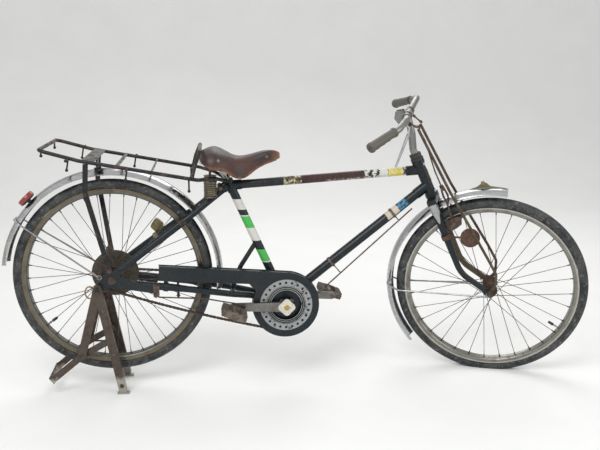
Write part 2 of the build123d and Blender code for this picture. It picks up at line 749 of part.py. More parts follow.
HOOP_RADIUS = 6.5
with BuildPart() as carrier_hoop:
    foot = rail_point(271, RAIL_RADIUS + SEAT + 0.4, 152)
    hoop_top = near(REAR, 297, 428)
    half_hoop = [foot, at(near(REAR, 281, 387), 140), at(hoop_top, 106), at(hoop_top, 0)]
    for side in (-1, 1):
        bent_bar(FRAME, mirrored(half_hoop, side), HOOP_RADIUS, 18)
carrier_hoop.part.label = "carrier_hoop"
export_step(carrier_hoop.part, "parts/carrier_hoop.step")

# Drive
WHEEL_PITCH = CHAIN_PITCH / 2 / math.sin(math.pi / WHEEL_TEETH)
SPROCKET_PITCH = CHAIN_PITCH / 2 / math.sin(math.pi / SPROCKET_TEETH)
CHAIN_SAG = 9.0
CENTRES = math.dist(REAR, CRANK)
TILT = math.degrees(math.atan2(CRANK_Z - REAR_AXLE_HEIGHT, CRANK_X))
SPLAY = math.degrees(math.asin((WHEEL_PITCH - SPROCKET_PITCH) / CENTRES))
RUN_LENGTH = CENTRES * math.cos(math.radians(SPLAY))
WHEEL_WRAP = 180 + 2 * SPLAY
SPROCKET_WRAP = 180 - 2 * SPLAY
TOP_ANGLE = TILT + 90 + SPLAY
LOW_ANGLE = TILT - 90 - SPLAY
LINKS = 126


def loop_place(distance):
    """Point and outward angle on the chain's loop, from the top of the sprocket."""
    wheel_arc = math.radians(WHEEL_WRAP) * WHEEL_PITCH
    if distance < RUN_LENGTH:
        start = around(REAR, SPROCKET_PITCH, TOP_ANGLE)
        end = around(CRANK, WHEEL_PITCH, TOP_ANGLE)
        return mix_points(start, end, distance / RUN_LENGTH), TOP_ANGLE
    distance -= RUN_LENGTH
    if distance < wheel_arc:
        angle = TOP_ANGLE - math.degrees(distance / WHEEL_PITCH)
        return around(CRANK, WHEEL_PITCH, angle), angle
    distance -= wheel_arc
    if distance < RUN_LENGTH:
        share = distance / RUN_LENGTH
        start = around(CRANK, WHEEL_PITCH, LOW_ANGLE)
        end = around(REAR, SPROCKET_PITCH, LOW_ANGLE)
        flat = mix_points(start, end, share)
        return near(flat, 0, -CHAIN_SAG * 4 * share * (1 - share)), LOW_ANGLE
    distance -= RUN_LENGTH
    angle = LOW_ANGLE - math.degrees(distance / SPROCKET_PITCH)
    return around(REAR, SPROCKET_PITCH, angle), angle


def chain_outline(side):
    """Edge of the chain: wide at each pin and narrow at the waist of each link."""
    whole = 2 * RUN_LENGTH + math.radians(WHEEL_WRAP) * WHEEL_PITCH
    whole += math.radians(SPROCKET_WRAP) * SPROCKET_PITCH
    points = []
    for step in range(2 * LINKS):
        flat, angle = loop_place(whole * step / (2 * LINKS))
        depth = LINK_WAIST if step % 2 else LINK_DEPTH
        points.append(around(flat, side * depth, angle))
    return points


with BuildPart() as chain:
    plate(FRAME, CHAIN_Y, chain_outline(1), 2 * CHAIN_HALF_WIDTH)
    plate(FRAME, CHAIN_Y, chain_outline(-1), 4 * CHAIN_HALF_WIDTH, mode=Mode.SUBTRACT)
chain.part.label = "chain"
export_step(chain.part, "parts/chain.step")

CASE_TOP = around(CRANK, CASE_RADIUS, TOP_ANGLE)
ARM_TOP = near(REAR, 153, 43)
ARM_LOW = near(REAR, 151, -6)
ARM_NOTCH = near(CRANK, -108, 60)


def case_form(y_start, y_end, grow, mode=Mode.ADD):
    """Round end over the chainwheel with a straight arm to the back, between two y."""
    outline = [
        near(ARM_TOP, -grow, grow),
        around(CRANK, CASE_RADIUS + grow, TOP_ANGLE),
        CRANK,
        near(ARM_NOTCH, 23, -27),
        near(ARM_NOTCH, -grow, -grow),
        near(ARM_NOTCH, -17 - grow, 18 - grow),
        near(ARM_LOW, -grow, -grow),
    ]
    middle = (y_start + y_end) / 2
    thickness = abs(y_end - y_start)
    plate(FRAME, middle, outline, thickness, mode=mode)
    strap(FRAME, middle, [(*CRANK, CASE_RADIUS + grow)], thickness, mode)


CLAMP_START = along(STAY_KINK, CHAIN_STAY_END, 12)
CLAMP_END = along(STAY_KINK, CHAIN_STAY_END, 28)
STAY_CLAMP = mirrored([CLAMP_START, CLAMP_END], -1)
CLAMP_MIDDLE = along(STAY_CLAMP[0], STAY_CLAMP[1], 8)
with BuildPart() as chain_case:
    case_form(CASE_BACK_Y, CASE_FRONT_Y, 0)
    case_form(CASE_BACK_Y, CASE_BACK_Y - CASE_WALL, 2)
    case_form(CASE_BACK_Y + 1, CASE_FRONT_Y + CASE_WALL, -CASE_WALL, Mode.SUBTRACT)
    # Raised rings on the front: inner radius, outer radius and height
    for inner, outer, rise in ((52, 54, 1.5), (57, 59, 1.0), (62, 64, 1.0), (68, 89, 1.5)):
        low = CASE_FRONT_Y - rise
        spun(
            FRAME,
            CRANK,
            [(inner, low), (outer, low), (outer, CASE_FRONT_Y + 0.5), (inner, CASE_FRONT_Y + 0.5)],
        )
    for hole in range(24):
        centre = around(CRANK, 78.5, hole * 15)
        pin(FRAME, at(centre, CASE_FRONT_Y - 3), at(centre, CASE_FRONT_Y + 3), 4.5, Mode.SUBTRACT)
    pin(FRAME, at(CRANK, CASE_FRONT_Y - 5), at(CRANK, CASE_FRONT_Y + 5), 52, Mode.SUBTRACT)
    # The chain comes in at the end of the arm, and leaves below through a round notch
    mouth = [
        near(ARM_LOW, -11, 2),
        near(ARM_TOP, -13, -2),
        near(ARM_TOP, 7, -2),
        near(ARM_LOW, 9, 2),
    ]
    plate(FRAME, -51, mouth, 20.5, mode=Mode.SUBTRACT)
    notch = [(*near(CRANK, -109, -65), 14), (*near(CRANK, -55, -87), 14)]
    strap(FRAME, CHAIN_Y, notch, 14, Mode.SUBTRACT)
    ring(FRAME, *STAY_CLAMP, CHAIN_STAY_END_RADIUS + SEAT + 2.5, CHAIN_STAY_END_RADIUS + SEAT)
    tab = (CLAMP_MIDDLE[0], CLAMP_MIDDLE[2] + CHAIN_STAY_END_RADIUS + 1)
    flat_bar(FRAME, [at(tab, -55), (CLAMP_MIDDLE[0], -55, ARM_LOW[1] + 1)], 14, 3, (1, 0, 0))
chain_case.part.label = "chain_case"
export_step(chain_case.part, "parts/chain_case.step")

BOSS_LOBES = 4
with BuildPart() as crankset:
    pin(FRAME, at(CRANK, -90), at(CRANK, 88), CRANK_AXLE_RADIUS)
    for side, (ahead, up) in ((-1, RIGHT_CRANK), (1, LEFT_CRANK)):
        end = near(CRANK, ahead, up)
        strap(FRAME, side * CRANK_Y, [(*CRANK, 17), (*end, 12.5)], CRANK_THICKNESS)
        pin(FRAME, at(end, side * 70), at(end, side * 90), 6.3, Mode.SUBTRACT)
        # Cotter pin through the crank's eye
        cotter_top = near(CRANK, 11, 22)
        cotter_foot = near(CRANK, 8, -24)
        pin(FRAME, at(cotter_top, side * CRANK_Y), at(cotter_foot, side * CRANK_Y), 4)
    # Cream cap behind the right crank, with four lobes
    pin(FRAME, at(CRANK, -73.5), at(CRANK, -68), 24)
    for lobe in range(BOSS_LOBES):
        centre = around(CRANK, 20, 45 + 90 * lobe)
        pin(FRAME, at(centre, -73.5), at(centre, -68), 10)
crankset.part.label = "crankset"
export_step(crankset.part, "parts/crankset.step")

TOOTH_GAP = 0.5
with BuildPart() as chainwheel:
    tip = WHEEL_PITCH - LINK_DEPTH - TOOTH_GAP
    teeth = [
        around(CRANK, tip - (0 if step % 2 else 3), 180 * step / WHEEL_TEETH)
        for step in range(2 * WHEEL_TEETH)
    ]
    plate(FRAME, CHAIN_Y, teeth, 3)
    # Windows between five arms
    for arm in range(5):
        window = [(34, CHAIN_Y - 5), (34, CHAIN_Y + 5), (76, CHAIN_Y + 5), (76, CHAIN_Y - 5)]
        spun(FRAME, CRANK, window, 72 * arm, 50, Mode.SUBTRACT)
    pin(FRAME, at(CRANK, -50), at(CRANK, -42), 20)
    pin(FRAME, at(CRANK, -60), at(CRANK, -36), CRANK_AXLE_RADIUS + SEAT, Mode.SUBTRACT)
chainwheel.part.label = "chainwheel"
export_step(chainwheel.part, "parts/chainwheel.step")

PEDAL_TILT = 20.0
PEDAL_INNER = 97.0
PEDAL_OUTER = 181.0
BLOCK_REACH = 31.0
for side, (ahead, up), name in (
    (-1, RIGHT_CRANK, "pedal_right"),
    (1, LEFT_CRANK, "pedal_left"),
):
    with BuildPart() as pedal:
        end = near(CRANK, ahead, up)
        pin(FRAME, at(end, side * (CRANK_Y - 6.5)), at(end, side * (PEDAL_OUTER + 4)), 6)
        pin(FRAME, at(end, side * 90), at(end, side * PEDAL_OUTER), 11)
        turned = Location((0, 0, 0), (0, 1, 0), PEDAL_TILT)
        for reach in (-BLOCK_REACH, BLOCK_REACH):
            middle = side * (PEDAL_INNER + PEDAL_OUTER) / 2
            with Locations(FRAME * Location(at(end, middle)) * turned * Location((reach, 0, 0))):
                Box(22, PEDAL_OUTER - PEDAL_INNER, 25)
        stops = [
            (*around(end, reach, -PEDAL_TILT), radius)
            for reach, radius in ((-BLOCK_REACH, 11), (0, 14), (BLOCK_REACH, 11))
        ]
        for y in (PEDAL_INNER + 1.5, PEDAL_OUTER - 1.5):
            strap(FRAME, side * y, stops, 3)
    pedal.part.label = name
    export_step(pedal.part, "parts/" + name + ".step")

# Rear brake
BRAKE_RADIUS = 79.0
KNOB = near(REAR, -19, 84)
with BuildPart() as rear_brake_plate:
    spun(
        FRAME,
        REAR,
        [(5, 34), (BRAKE_RADIUS, 34), (BRAKE_RADIUS, 40), (70, 44), (24, 44), (18, 48), (14, 60.7),
         (5, 60.7)],
    )
    spun(FRAME, REAR, [(50, 43), (58, 43), (58, 45.2), (50, 45.2)])
    strap(FRAME, 41, [(*REAR, 40), (*KNOB, 9)], 5)
    pin(FRAME, at(KNOB, 38), at(KNOB, 52), 6)
    pin(FRAME, at(REAR, 30), at(REAR, 70), AXLE_RADIUS + SEAT, Mode.SUBTRACT)
rear_brake_plate.part.label = "rear_brake_plate"
export_step(rear_brake_plate.part, "parts/rear_brake_plate.step")

ROD_RADIUS = 2.5
CLIP_HALF = 4.5
CLIP_WALL = 2.0
with BuildPart() as brake_rods:
    rod = [
        (1014, -17, 603),
        (700, -17, 320),
        (600, -34, 250),
        (379, -34, 294),
        (302, -37, 311),
        at(near(REAR, 150, -69), -40),
        at(near(REAR, 141, -57), -58),
        at(near(REAR, 141, -57), -70),
    ]
    bent_bar(FRAME, rod, ROD_RADIUS, 6)
    # Clips round the down tube: distance down the tube from the head
    bore = DOWN_TUBE_RADIUS + SEAT
    for distance in (155, 425):
        middle = along(DOWN_FRONT, DOWN_BACK, distance)
        hold = foot_on(rod[0], rod[1], middle)
        start = along(DOWN_FRONT, DOWN_BACK, distance - CLIP_HALF)
        end = along(DOWN_FRONT, DOWN_BACK, distance + CLIP_HALF)
        pin(FRAME, along(middle, hold, bore + CLIP_WALL / 2), hold, CLIP_WALL)
        ring(FRAME, start, end, bore + CLIP_WALL, bore)
    # Hanger on the right dropout's arm
    hanger = [
        near(REAR, 133, -13),
        near(REAR, 153, -21),
        near(REAR, 153, -53),
        near(REAR, 141, -63),
        near(REAR, 133, -57),
    ]
    plate(FRAME, -70.3, hanger, 2.6)
brake_rods.part.label = "brake_rods"
export_step(brake_rods.part, "parts/brake_rods.step")

with BuildPart() as box_lock:
    across = [at(STAY_KNEE, KNEE_Y), at(STAY_END, STAY_END_Y)]
    start = along(*across, 152)
    end = along(*across, 168)
    ring(FRAME, start, end, STAY_LOW_RADIUS + SEAT + 3, STAY_LOW_RADIUS + SEAT)
    body = [
        near(REAR, 119, 151),
        near(REAR, 141, 183),
        near(REAR, 168, 158),
        near(REAR, 146, 125),
    ]
    plate(FRAME, 76, body, 20, 9)
box_lock.part.label = "box_lock"
export_step(box_lock.part, "parts/box_lock.step")

# Front fork: oval blades, straight at first, then bent forward
BLADE_TOP = at(head_point(-12), BLADE_Y)
BLADE_KNEE = at(around(FRONT, 120.7, 148.5), (BLADE_Y + BLADE_END_Y) / 2)
BLADE_TIP = at(around(FRONT, 15.2, 156.8), BLADE_END_Y - 3)
CROWN_ACROSS = Vector(*at(head_point(0, 1), 0)) - Vector(*HEAD_LOW)
with BuildPart() as fork:
    pin(TURNED, at(head_point(CROWN_HIGH), 0), at(head_point(HEAD_LENGTH + 34), 0), STEERER_RADIUS)
    middle = head_point((CROWN_LOW + CROWN_HIGH) / 2)
    ends = [at(middle, -BLADE_Y - 9), at(middle, BLADE_Y + 9)]
    across = (CROWN_ACROSS.X, 0, CROWN_ACROSS.Z)
    flat_bar(TURNED, ends, 32, CROWN_HIGH - CROWN_LOW, across)
    for side in (-1, 1):
        top, knee, tip = mirrored([BLADE_TOP, BLADE_KNEE, BLADE_TIP], side)
        joint = along(knee, top, 60)
        run = Vector(*knee) - Vector(*top)
        fore = run.cross(Vector(0, 1, 0))
        sections = []
        for middle, half_long, half_wide in (
            (top, 13.5, 10),
            (joint, 10.5, 8.5),
        ):
            drawn = Plane(origin=middle, x_dir=fore, z_dir=run)
            with BuildSketch(Plane(TURNED * drawn.location)) as section:
                Ellipse(half_long, half_wide)
            sections.append(section.sketch)
        loft(sections)
        with BuildLine() as curve:
            FilletPolyline(*[spot(TURNED, p) for p in (joint, knee, tip)], radius=110)
        sweep(sections=sections[1], path=curve.wires()[0])
        # Sleeve under the crown
        drawn = Plane(origin=along(top, knee, 14), x_dir=fore, z_dir=run)
        with BuildSketch(Plane(TURNED * drawn.location)) as section:
            Ellipse(15, 11.5)
        extrude(section.sketch, amount=34)
        plate_y = side * FORK_PLATE_Y
        strap(TURNED, plate_y, [(*around(FRONT, 24, 152), 8), (*FRONT, 16)], FORK_PLATE)
        hole = (at(FRONT, side * 45), at(FRONT, side * 70))
        pin(TURNED, *hole, AXLE_RADIUS + SEAT, Mode.SUBTRACT)
fork.part.label = "fork"
export_step(fork.part, "parts/fork.step")

with BuildPart() as headset:
    # Top cup and locknut: low, high and radius
    for low, high, radius in (
        (HEAD_LENGTH + 10 + SEAT, HEAD_LENGTH + 17, 22),
        (HEAD_LENGTH + 17, HEAD_LENGTH + 22, 18),
        (HEAD_LENGTH + 22, HEAD_LENGTH + 33, 20),
    ):
        pin(TURNED, at(head_point(low), 0), at(head_point(high), 0), radius)
    through = (at(head_point(0), 0), at(head_point(HEAD_LENGTH + 60), 0))
    pin(TURNED, *through, STEERER_RADIUS + SEAT, Mode.SUBTRACT)
headset.part.label = "headset"
export_step(headset.part, "parts/headset.step")

# Handlebar: stem, sleeve and two swept arms
SLEEVE = (992, 919)
SLEEVE_RADIUS = 14.0
BAR_HALF = (
    (992, 0, 919),
    (996, 70, 926),
    (1008, 170, 948),
    (990, 228, 928),
    (915, 325, 889),
)
BAR_CLAMP_Y = 58.0
BAR_CLAMP_WIDTH = 11.0
STAY_TOP = (1033, 884)
LONG_STAY_TOP_Y = 38.0
with BuildPart() as handlebar:
    for side in (-1, 1):
        bent_bar(TURNED, mirrored(BAR_HALF, side), BAR_RADIUS, 60)
        # Collar at the end of the sleeve
        collar = mirrored([(992, 42, 919), (992, 50, 919.6)], side)
        pin(TURNED, *collar, SLEEVE_RADIUS + 2)
    pin(TURNED, at(SLEEVE, -SLEEVE_HALF), at(SLEEVE, SLEEVE_HALF), SLEEVE_RADIUS)
    stem = [
        at(head_point(HEAD_LENGTH + 34 + SEAT), 0),
        at(head_point(HEAD_LENGTH + 48), 0),
        (1009, 0, 860),
        at(SLEEVE, 0),
    ]
    bent_bar(TURNED, stem, STEERER_RADIUS, 20)
handlebar.part.label = "handlebar"
export_step(handlebar.part, "parts/handlebar.step")

# Clamps on the bar, with tabs forward to the tops of the long stays
with BuildPart() as bar_clamps:
    for side in (-1, 1):
        inner = (994.0, side * (BAR_CLAMP_Y - BAR_CLAMP_WIDTH / 2), 922.5)
        outer = (995.3, side * (BAR_CLAMP_Y + BAR_CLAMP_WIDTH / 2), 924.8)
        pin(TURNED, inner, outer, BAR_RADIUS + SEAT + 3)
        tab = [
            (1002, 60, 914),
            (1020, 55, 898),
            at(near(STAY_TOP, 4, 6), LONG_STAY_TOP_Y),
        ]
        flat_bar(TURNED, mirrored(tab, side), 14, 3, (0, 1, 0), 6)
        bent_bar(
            TURNED,
            mirrored([(994, 0, 918.6), (995.2, 56, 924.6), (999.4, 90, 931)], side),
            BAR_RADIUS + SEAT,
            60,
            Mode.SUBTRACT,
        )
        ends = mirrored(BAR_HALF, side)
        bent_bar(TURNED, ends, BAR_RADIUS + SEAT, 60, Mode.SUBTRACT)
bar_clamps.part.label = "bar_clamps"
export_step(bar_clamps.part, "parts/bar_clamps.step")

GRIP_RADIUS = 15.5
with BuildPart() as grips:
    for side in (-1, 1):
        bend, tip = mirrored(BAR_HALF[3:], side)
        start = along(bend, tip, 20)
        end = along(tip, bend, -2)
        taper(TURNED, start, end, GRIP_RADIUS - 1.5, GRIP_RADIUS + 0.5)
        pin(TURNED, start, along(start, end, 5), GRIP_RADIUS + 1.5)
        pin(TURNED, along(end, start, 8), end, GRIP_RADIUS + 2)
        pin(TURNED, along(start, end, -2), along(tip, bend, -SEAT), BAR_RADIUS + SEAT, Mode.SUBTRACT)
grips.part.label = "grips"
export_step(grips.part, "parts/grips.step")

LONG_STAY_Y = 63.6
EYE_RADIUS = 11.0
EYE_BORE = AXLE_RADIUS + SEAT
with BuildPart() as fork_stays:
    for side in (-1, 1):
        stay = [
            at(STAY_TOP, LONG_STAY_TOP_Y),
            at(near(FRONT, -160, 360), 44),
            at(near(FRONT, -16, 130), LONG_STAY_Y),
            at(near(FRONT, 16, 75), LONG_STAY_Y),
            at(near(FRONT, 16, 32), LONG_STAY_Y),
            at(around(FRONT, 18, 64), LONG_STAY_Y),
        ]
        bent_bar(TURNED, mirrored(stay, side), LONG_STAY_RADIUS, 26)
        strap(
            TURNED,
            side * LONG_STAY_Y,
            [(*around(FRONT, 20, 64), 5), (*FRONT, EYE_RADIUS)],
            4,
        )
        pin(TURNED, at(FRONT, side * 55), at(FRONT, side * 75), EYE_BORE, Mode.SUBTRACT)
fork_stays.part.label = "fork_stays"
export_step(fork_stays.part, "parts/fork_stays.step")

FRONT_GUARD_START = 84.7
FRONT_GUARD_ARC = 135.8
CREST_PEAK = around(FRONT, GUARD_OUTER + 20, 97.5)
with BuildPart() as front_mudguard:
    guard_shell(TURNED, FRONT, FRONT_GUARD_START, FRONT_GUARD_ARC)
    # Boss under the crown, through the sheet
    under_crown = head_point(CROWN_LOW - SEAT)
    depth = math.dist(under_crown, FRONT) - GUARD_OUTER + 2.5
    boss_end = head_point(CROWN_LOW - SEAT - depth)
    pin(TURNED, at(under_crown, 0), at(boss_end, 0), 11)
    # Low crest along the top, with a peak
    with BuildSketch(side_plane(TURNED, 0)) as crest:
        with BuildLine():
            Polyline(
                around(FRONT, GUARD_OUTER - 0.8, 106),
                around(FRONT, GUARD_OUTER + 6, 101),
                CREST_PEAK,
                around(FRONT, GUARD_OUTER + 18, 96),
                around(FRONT, GUARD_OUTER + 6, 94),
                around(FRONT, GUARD_OUTER + 2, 86),
                around(FRONT, GUARD_OUTER - 0.8, 85),
            )
            ThreePointArc(
                around(FRONT, GUARD_OUTER - 0.8, 85),
                around(FRONT, GUARD_OUTER - 0.8, 95),
                around(FRONT, GUARD_OUTER - 0.8, 106),
            )
        make_face()
    extrude(crest.sketch, amount=2.5, both=True)
front_mudguard.part.label = "front_mudguard"
export_step(front_mudguard.part, "parts/front_mudguard.step")

GUARD_EYE_Y = 60.05
with BuildPart() as front_guard_stay:
    for side in (-1, 1):
        root = near(FRONT, -11, -14)
        strap(TURNED, side * GUARD_EYE_Y, [(*FRONT, EYE_RADIUS), (*root, 4)], 2.5)
        wire = [
            at(root, GUARD_EYE_Y + 1.5),
            at(near(FRONT, -321, -26), 44),
            at(near(FRONT, -361, -7), 37),
            at(near(FRONT, -350, 18), 37),
        ]
        bent_bar(TURNED, mirrored(wire, side), STAY_WIRE, 8)
        pin(TURNED, at(FRONT, side * 55), at(FRONT, side * 75), EYE_BORE, Mode.SUBTRACT)
front_guard_stay.part.label = "front_guard_stay"
export_step(front_guard_stay.part, "parts/front_guard_stay.step")

# Front brake: a stirrup over the guard, its rod, and a holder with a shoe on each side
BRIDGE = around(FRONT, GUARD_OUTER + 35, 117.8)
STIRRUP_Y = 37.4
HOLDER_Y = 33.5
SHOE_ANGLE = 123.0
with BuildPart() as front_brake:
    half_stirrup = [
        at(near(FRONT, -137, 237), STIRRUP_Y),
        at(near(FRONT, -148, 263), STIRRUP_Y),
        at(near(FRONT, -165, 314), STIRRUP_Y),
        at(near(BRIDGE, 8, -18), STIRRUP_Y),
        at(BRIDGE, 24),
        at(BRIDGE, 0),
    ]
    holder = [
        near(FRONT, -165, 246),
        near(FRONT, -158, 220),
        near(FRONT, -144, 211),
        near(FRONT, -126, 223),
        near(FRONT, -111, 238),
        near(FRONT, -113, 267),
        near(FRONT, -135, 261),
    ]
    bolt = near(FRONT, -138, 240)
    for side in (-1, 1):
        bent_bar(TURNED, mirrored(half_stirrup, side), 3.5, 9)
        plate(TURNED, side * HOLDER_Y, holder, 3)
        pin(TURNED, at(bolt, side * 32), at(bolt, side * 43), 7)
        # Shoe inside the rim, on an arm from the holder
        shoe_low = around(FRONT, RIM_INNER - 17, SHOE_ANGLE)
        shoe_high = around(FRONT, RIM_INNER - 5, SHOE_ANGLE)
        pin(TURNED, at(shoe_low, side * 15), at(shoe_low, side * HOLDER_Y), 4)
        lean = math.radians(SHOE_ANGLE)
        shoe = Plane(
            origin=at(mix_points(shoe_low, shoe_high, 0.5), side * 14.5),
            x_dir=(-math.sin(lean), 0, math.cos(lean)),
            z_dir=(math.cos(lean), 0, math.sin(lean)),
        )
        with Locations(TURNED * shoe.location):
            Box(38, 8, 12)
    bent_bar(
        TURNED,
        [(1034, 0, 872), (1056, 0, 834), (1092, 0, 733), at(BRIDGE, 0)],
        ROD_RADIUS,
        20,
    )
    pin(TURNED, at(near(BRIDGE, -4, 8), 0), at(near(BRIDGE, 5, -9), 0), 7)
front_brake.part.label = "front_brake"
export_step(front_brake.part, "parts/front_brake.step")

with BuildPart() as brake_lever:
    hook = [(996, -BAR_CLAMP_Y, 907.2), (1005, -60, 893), (1003, -60, 868)]
    bent_bar(TURNED, hook, 3.5, 8)
    lever_end = (965, -48, 756)
    taper(TURNED, (1003, -60, 870), lever_end, 5.5, 3.5)
    ball(TURNED, lever_end, 4.5)
brake_lever.part.label = "brake_lever"
export_step(brake_lever.part, "parts/brake_lever.step")

# Tapered plate that hangs behind the sleeve
with BuildPart() as lamp_bracket:
    tray = [(950, 906), (953, 932), (977, 938), (985, 916), (972, 880)]
    plate(TURNED, 22, tray, 3)
    plate(TURNED, -4, tray, 3)
    flat_bar(TURNED, [(951.5, -5.5, 919), (951.5, 23.5, 919)], 26, 3, (0.1, 0, 1))
    pin(TURNED, at(SLEEVE, -5.5), at(SLEEVE, 23.5), SLEEVE_RADIUS + SEAT + 2.5)
    pin(TURNED, at(SLEEVE, -8), at(SLEEVE, 26), SLEEVE_RADIUS + SEAT, Mode.SUBTRACT)
    pin(TURNED, (1009, 0, 855), at(SLEEVE, 0), STEERER_RADIUS + 2, Mode.SUBTRACT)
lamp_bracket.part.label = "lamp_bracket"
export_step(lamp_bracket.part, "parts/lamp_bracket.step")

DISC = near(FRONT, -80, 194)
DISC_RADIUS = 33.0
DISC_BAND = near(FRONT, -161, 193)
with BuildPart() as side_reflector:
    pin(TURNED, at(DISC, -47.5), at(DISC, -38), DISC_RADIUS)
    pin(TURNED, at(DISC, -38.5), at(DISC, -36), DISC_RADIUS - 8)
    pin(TURNED, at(DISC, -43), at(DISC_BAND, -46), 3.5)
    blade = (Vector(*BLADE_KNEE) - Vector(*BLADE_TOP)).normalized() * 8
    low = (DISC_BAND[0] - blade.X, -49.5, DISC_BAND[1] - blade.Z)
    high = (DISC_BAND[0] + blade.X, -49.5, DISC_BAND[1] + blade.Z)
    ring(TURNED, low, high, 15.5, 12.2)
side_reflector.part.label = "side_reflector"
export_step(side_reflector.part, "parts/side_reflector.step")


# Wheels
def tyre_ring(where, centre):
    """Tyre with a section of eight straight runs over a flat base on the rim."""
    middle = TYRE_RADIUS - TYRE_HALF_WIDTH
    base = math.degrees(math.acos((RIM_OUTER + SEAT - middle) / TYRE_HALF_WIDTH))
    section = [around((middle, 0), TYRE_HALF_WIDTH, base * (step / 4 - 1)) for step in range(9)]
    spun(where, centre, section)


def rim_ring(where, centre):
    """Rim with flat sides that draws in to a narrow flat well."""
    spun(
        where,
        centre,
        [
            (RIM_OUTER, -RIM_HALF_WIDTH),
            (RIM_OUTER, RIM_HALF_WIDTH),
            (RIM_INNER + 6, RIM_HALF_WIDTH),
            (RIM_INNER, RIM_FLAT),
            (RIM_INNER, -RIM_FLAT),
            (RIM_INNER + 6, -RIM_HALF_WIDTH),
        ],
    )


def spoke(where, start, end):
    """Six-sided wire from the hub's flange to the rim."""
    run = Vector(*end) - Vector(*start)
    with BuildSketch(Plane(where * Plane(origin=start, z_dir=run).location)) as section:
        RegularPolygon(SPOKE_RADIUS, 6)
    extrude(section.sketch, amount=run.length)


def hub_and_spokes(where, centre, count, flange_y):
    """Hub with a waist and two flanges, and spokes that leave the flanges at a tangent."""
    outer = flange_y + FLANGE_THICKNESS
    spun(
        where,
        centre,
        [
            (AXLE_RADIUS + RUNNING, -outer),
            (FLANGE_RADIUS, -outer),
            (FLANGE_RADIUS, -flange_y),
            (HUB_RADIUS + 3, -flange_y),
            (HUB_RADIUS - 3, -flange_y + 9),
            (HUB_RADIUS - 3, flange_y - 9),
            (HUB_RADIUS + 3, flange_y),
            (FLANGE_RADIUS, flange_y),
            (FLANGE_RADIUS, outer),
            (AXLE_RADIUS + RUNNING, outer),
        ],
    )
    each_side = count // 2
    step = 360 / each_side
    for side in (-1, 1):
        for number in range(each_side):
            rim_angle = step * number + (step / 2 if side > 0 else 0)
            lean = 66 if number % 2 else -66
            hub_end = around(centre, FLANGE_RADIUS - 4, rim_angle + lean)
            rim_end = around(centre, RIM_INNER - SEAT, rim_angle)
            spoke(where, at(hub_end, side * (flange_y + 1.5)), at(rim_end, side * 3))


with BuildPart() as front_tyre:
    tyre_ring(TURNED, FRONT)
    # The soft tyre lies flat on the floor
    with Locations(FRAME * Location((FRONT_AXLE_X, 0, -50))):
        Box(500, 400, 100, mode=Mode.SUBTRACT)
front_tyre.part.label = "front_tyre"
export_step(front_tyre.part, "parts/front_tyre.step")

with BuildPart() as rear_tyre:
    tyre_ring(FRAME, REAR)
rear_tyre.part.label = "rear_tyre"
export_step(rear_tyre.part, "parts/rear_tyre.step")

with BuildPart() as front_rim:
    rim_ring(TURNED, FRONT)
front_rim.part.label = "front_rim"
export_step(front_rim.part, "parts/front_rim.step")

with BuildPart() as rear_rim:
    rim_ring(FRAME, REAR)
rear_rim.part.label = "rear_rim"
export_step(rear_rim.part, "parts/rear_rim.step")

with BuildPart() as front_hub:
    hub_and_spokes(TURNED, FRONT, FRONT_SPOKES, FRONT_FLANGE_Y)
front_hub.part.label = "front_hub"
export_step(front_hub.part, "parts/front_hub.step")

with BuildPart() as rear_hub:
    hub_and_spokes(FRAME, REAR, REAR_SPOKES, REAR_FLANGE_Y)
    pin(FRAME, at(REAR, -49), at(REAR, -REAR_FLANGE_Y - 1), 20)
    tip = SPROCKET_PITCH - LINK_DEPTH - TOOTH_GAP
    teeth = [
        around(REAR, tip - (0 if step % 2 else 3), 180 * step / SPROCKET_TEETH)
        for step in range(2 * SPROCKET_TEETH)
    ]
    plate(FRAME, CHAIN_Y, teeth, 3)
    pin(FRAME, at(REAR, -60), at(REAR, 60), AXLE_RADIUS + RUNNING, Mode.SUBTRACT)
rear_hub.part.label = "rear_hub"
export_step(rear_hub.part, "parts/rear_hub.step")


def hexagon(where, centre, low, high, radius):
    """Nut on an axle, between two y."""
    with BuildSketch(side_plane(where, (low + high) / 2)) as face:
        with Locations(centre):
            RegularPolygon(radius, 6)
    extrude(face.sketch, amount=abs(high - low) / 2, both=True)


def axle(where, centre, half, stack):
    """Axle with round spacers and hexagon nuts, given as start, end, radius and sides."""
    pin(where, at(centre, -half), at(centre, half), AXLE_RADIUS)
    for low, high, radius, form in stack:
        if form == "nut":
            hexagon(where, centre, low, high, radius)
        else:
            pin(where, at(centre, low), at(centre, high), radius)


FORK_FACE = FORK_PLATE_Y - FORK_PLATE / 2
LONG_EYE_FACE = LONG_STAY_Y + 2
with BuildPart() as front_axle:
    axle(
        TURNED,
        FRONT,
        86,
        [
            stack
            for side in (-1, 1)
            for stack in (
                (side * 38, side * (FORK_FACE - SEAT), 9, "spacer"),
                (side * (LONG_EYE_FACE + SEAT), side * 67.5, 11, "spacer"),
                (side * 67, side * 76, 10, "nut"),
            )
        ],
    )
front_axle.part.label = "front_axle"
export_step(front_axle.part, "parts/front_axle.step")

with BuildPart() as rear_axle:
    axle(
        FRAME,
        REAR,
        86,
        [
            (-52, SEAT + DROPOUT_THICKNESS - DROPOUT_FACE, 9, "spacer"),
            (-DROPOUT_FACE - SEAT, -69.5, 13, "spacer"),
            (-69, -78, 10, "nut"),
            (DROPOUT_FACE + SEAT, 69.5, 13, "spacer"),
            (69, 78, 10, "nut"),
        ],
    )
rear_axle.part.label = "rear_axle"
export_step(rear_axle.part, "parts/rear_axle.step")

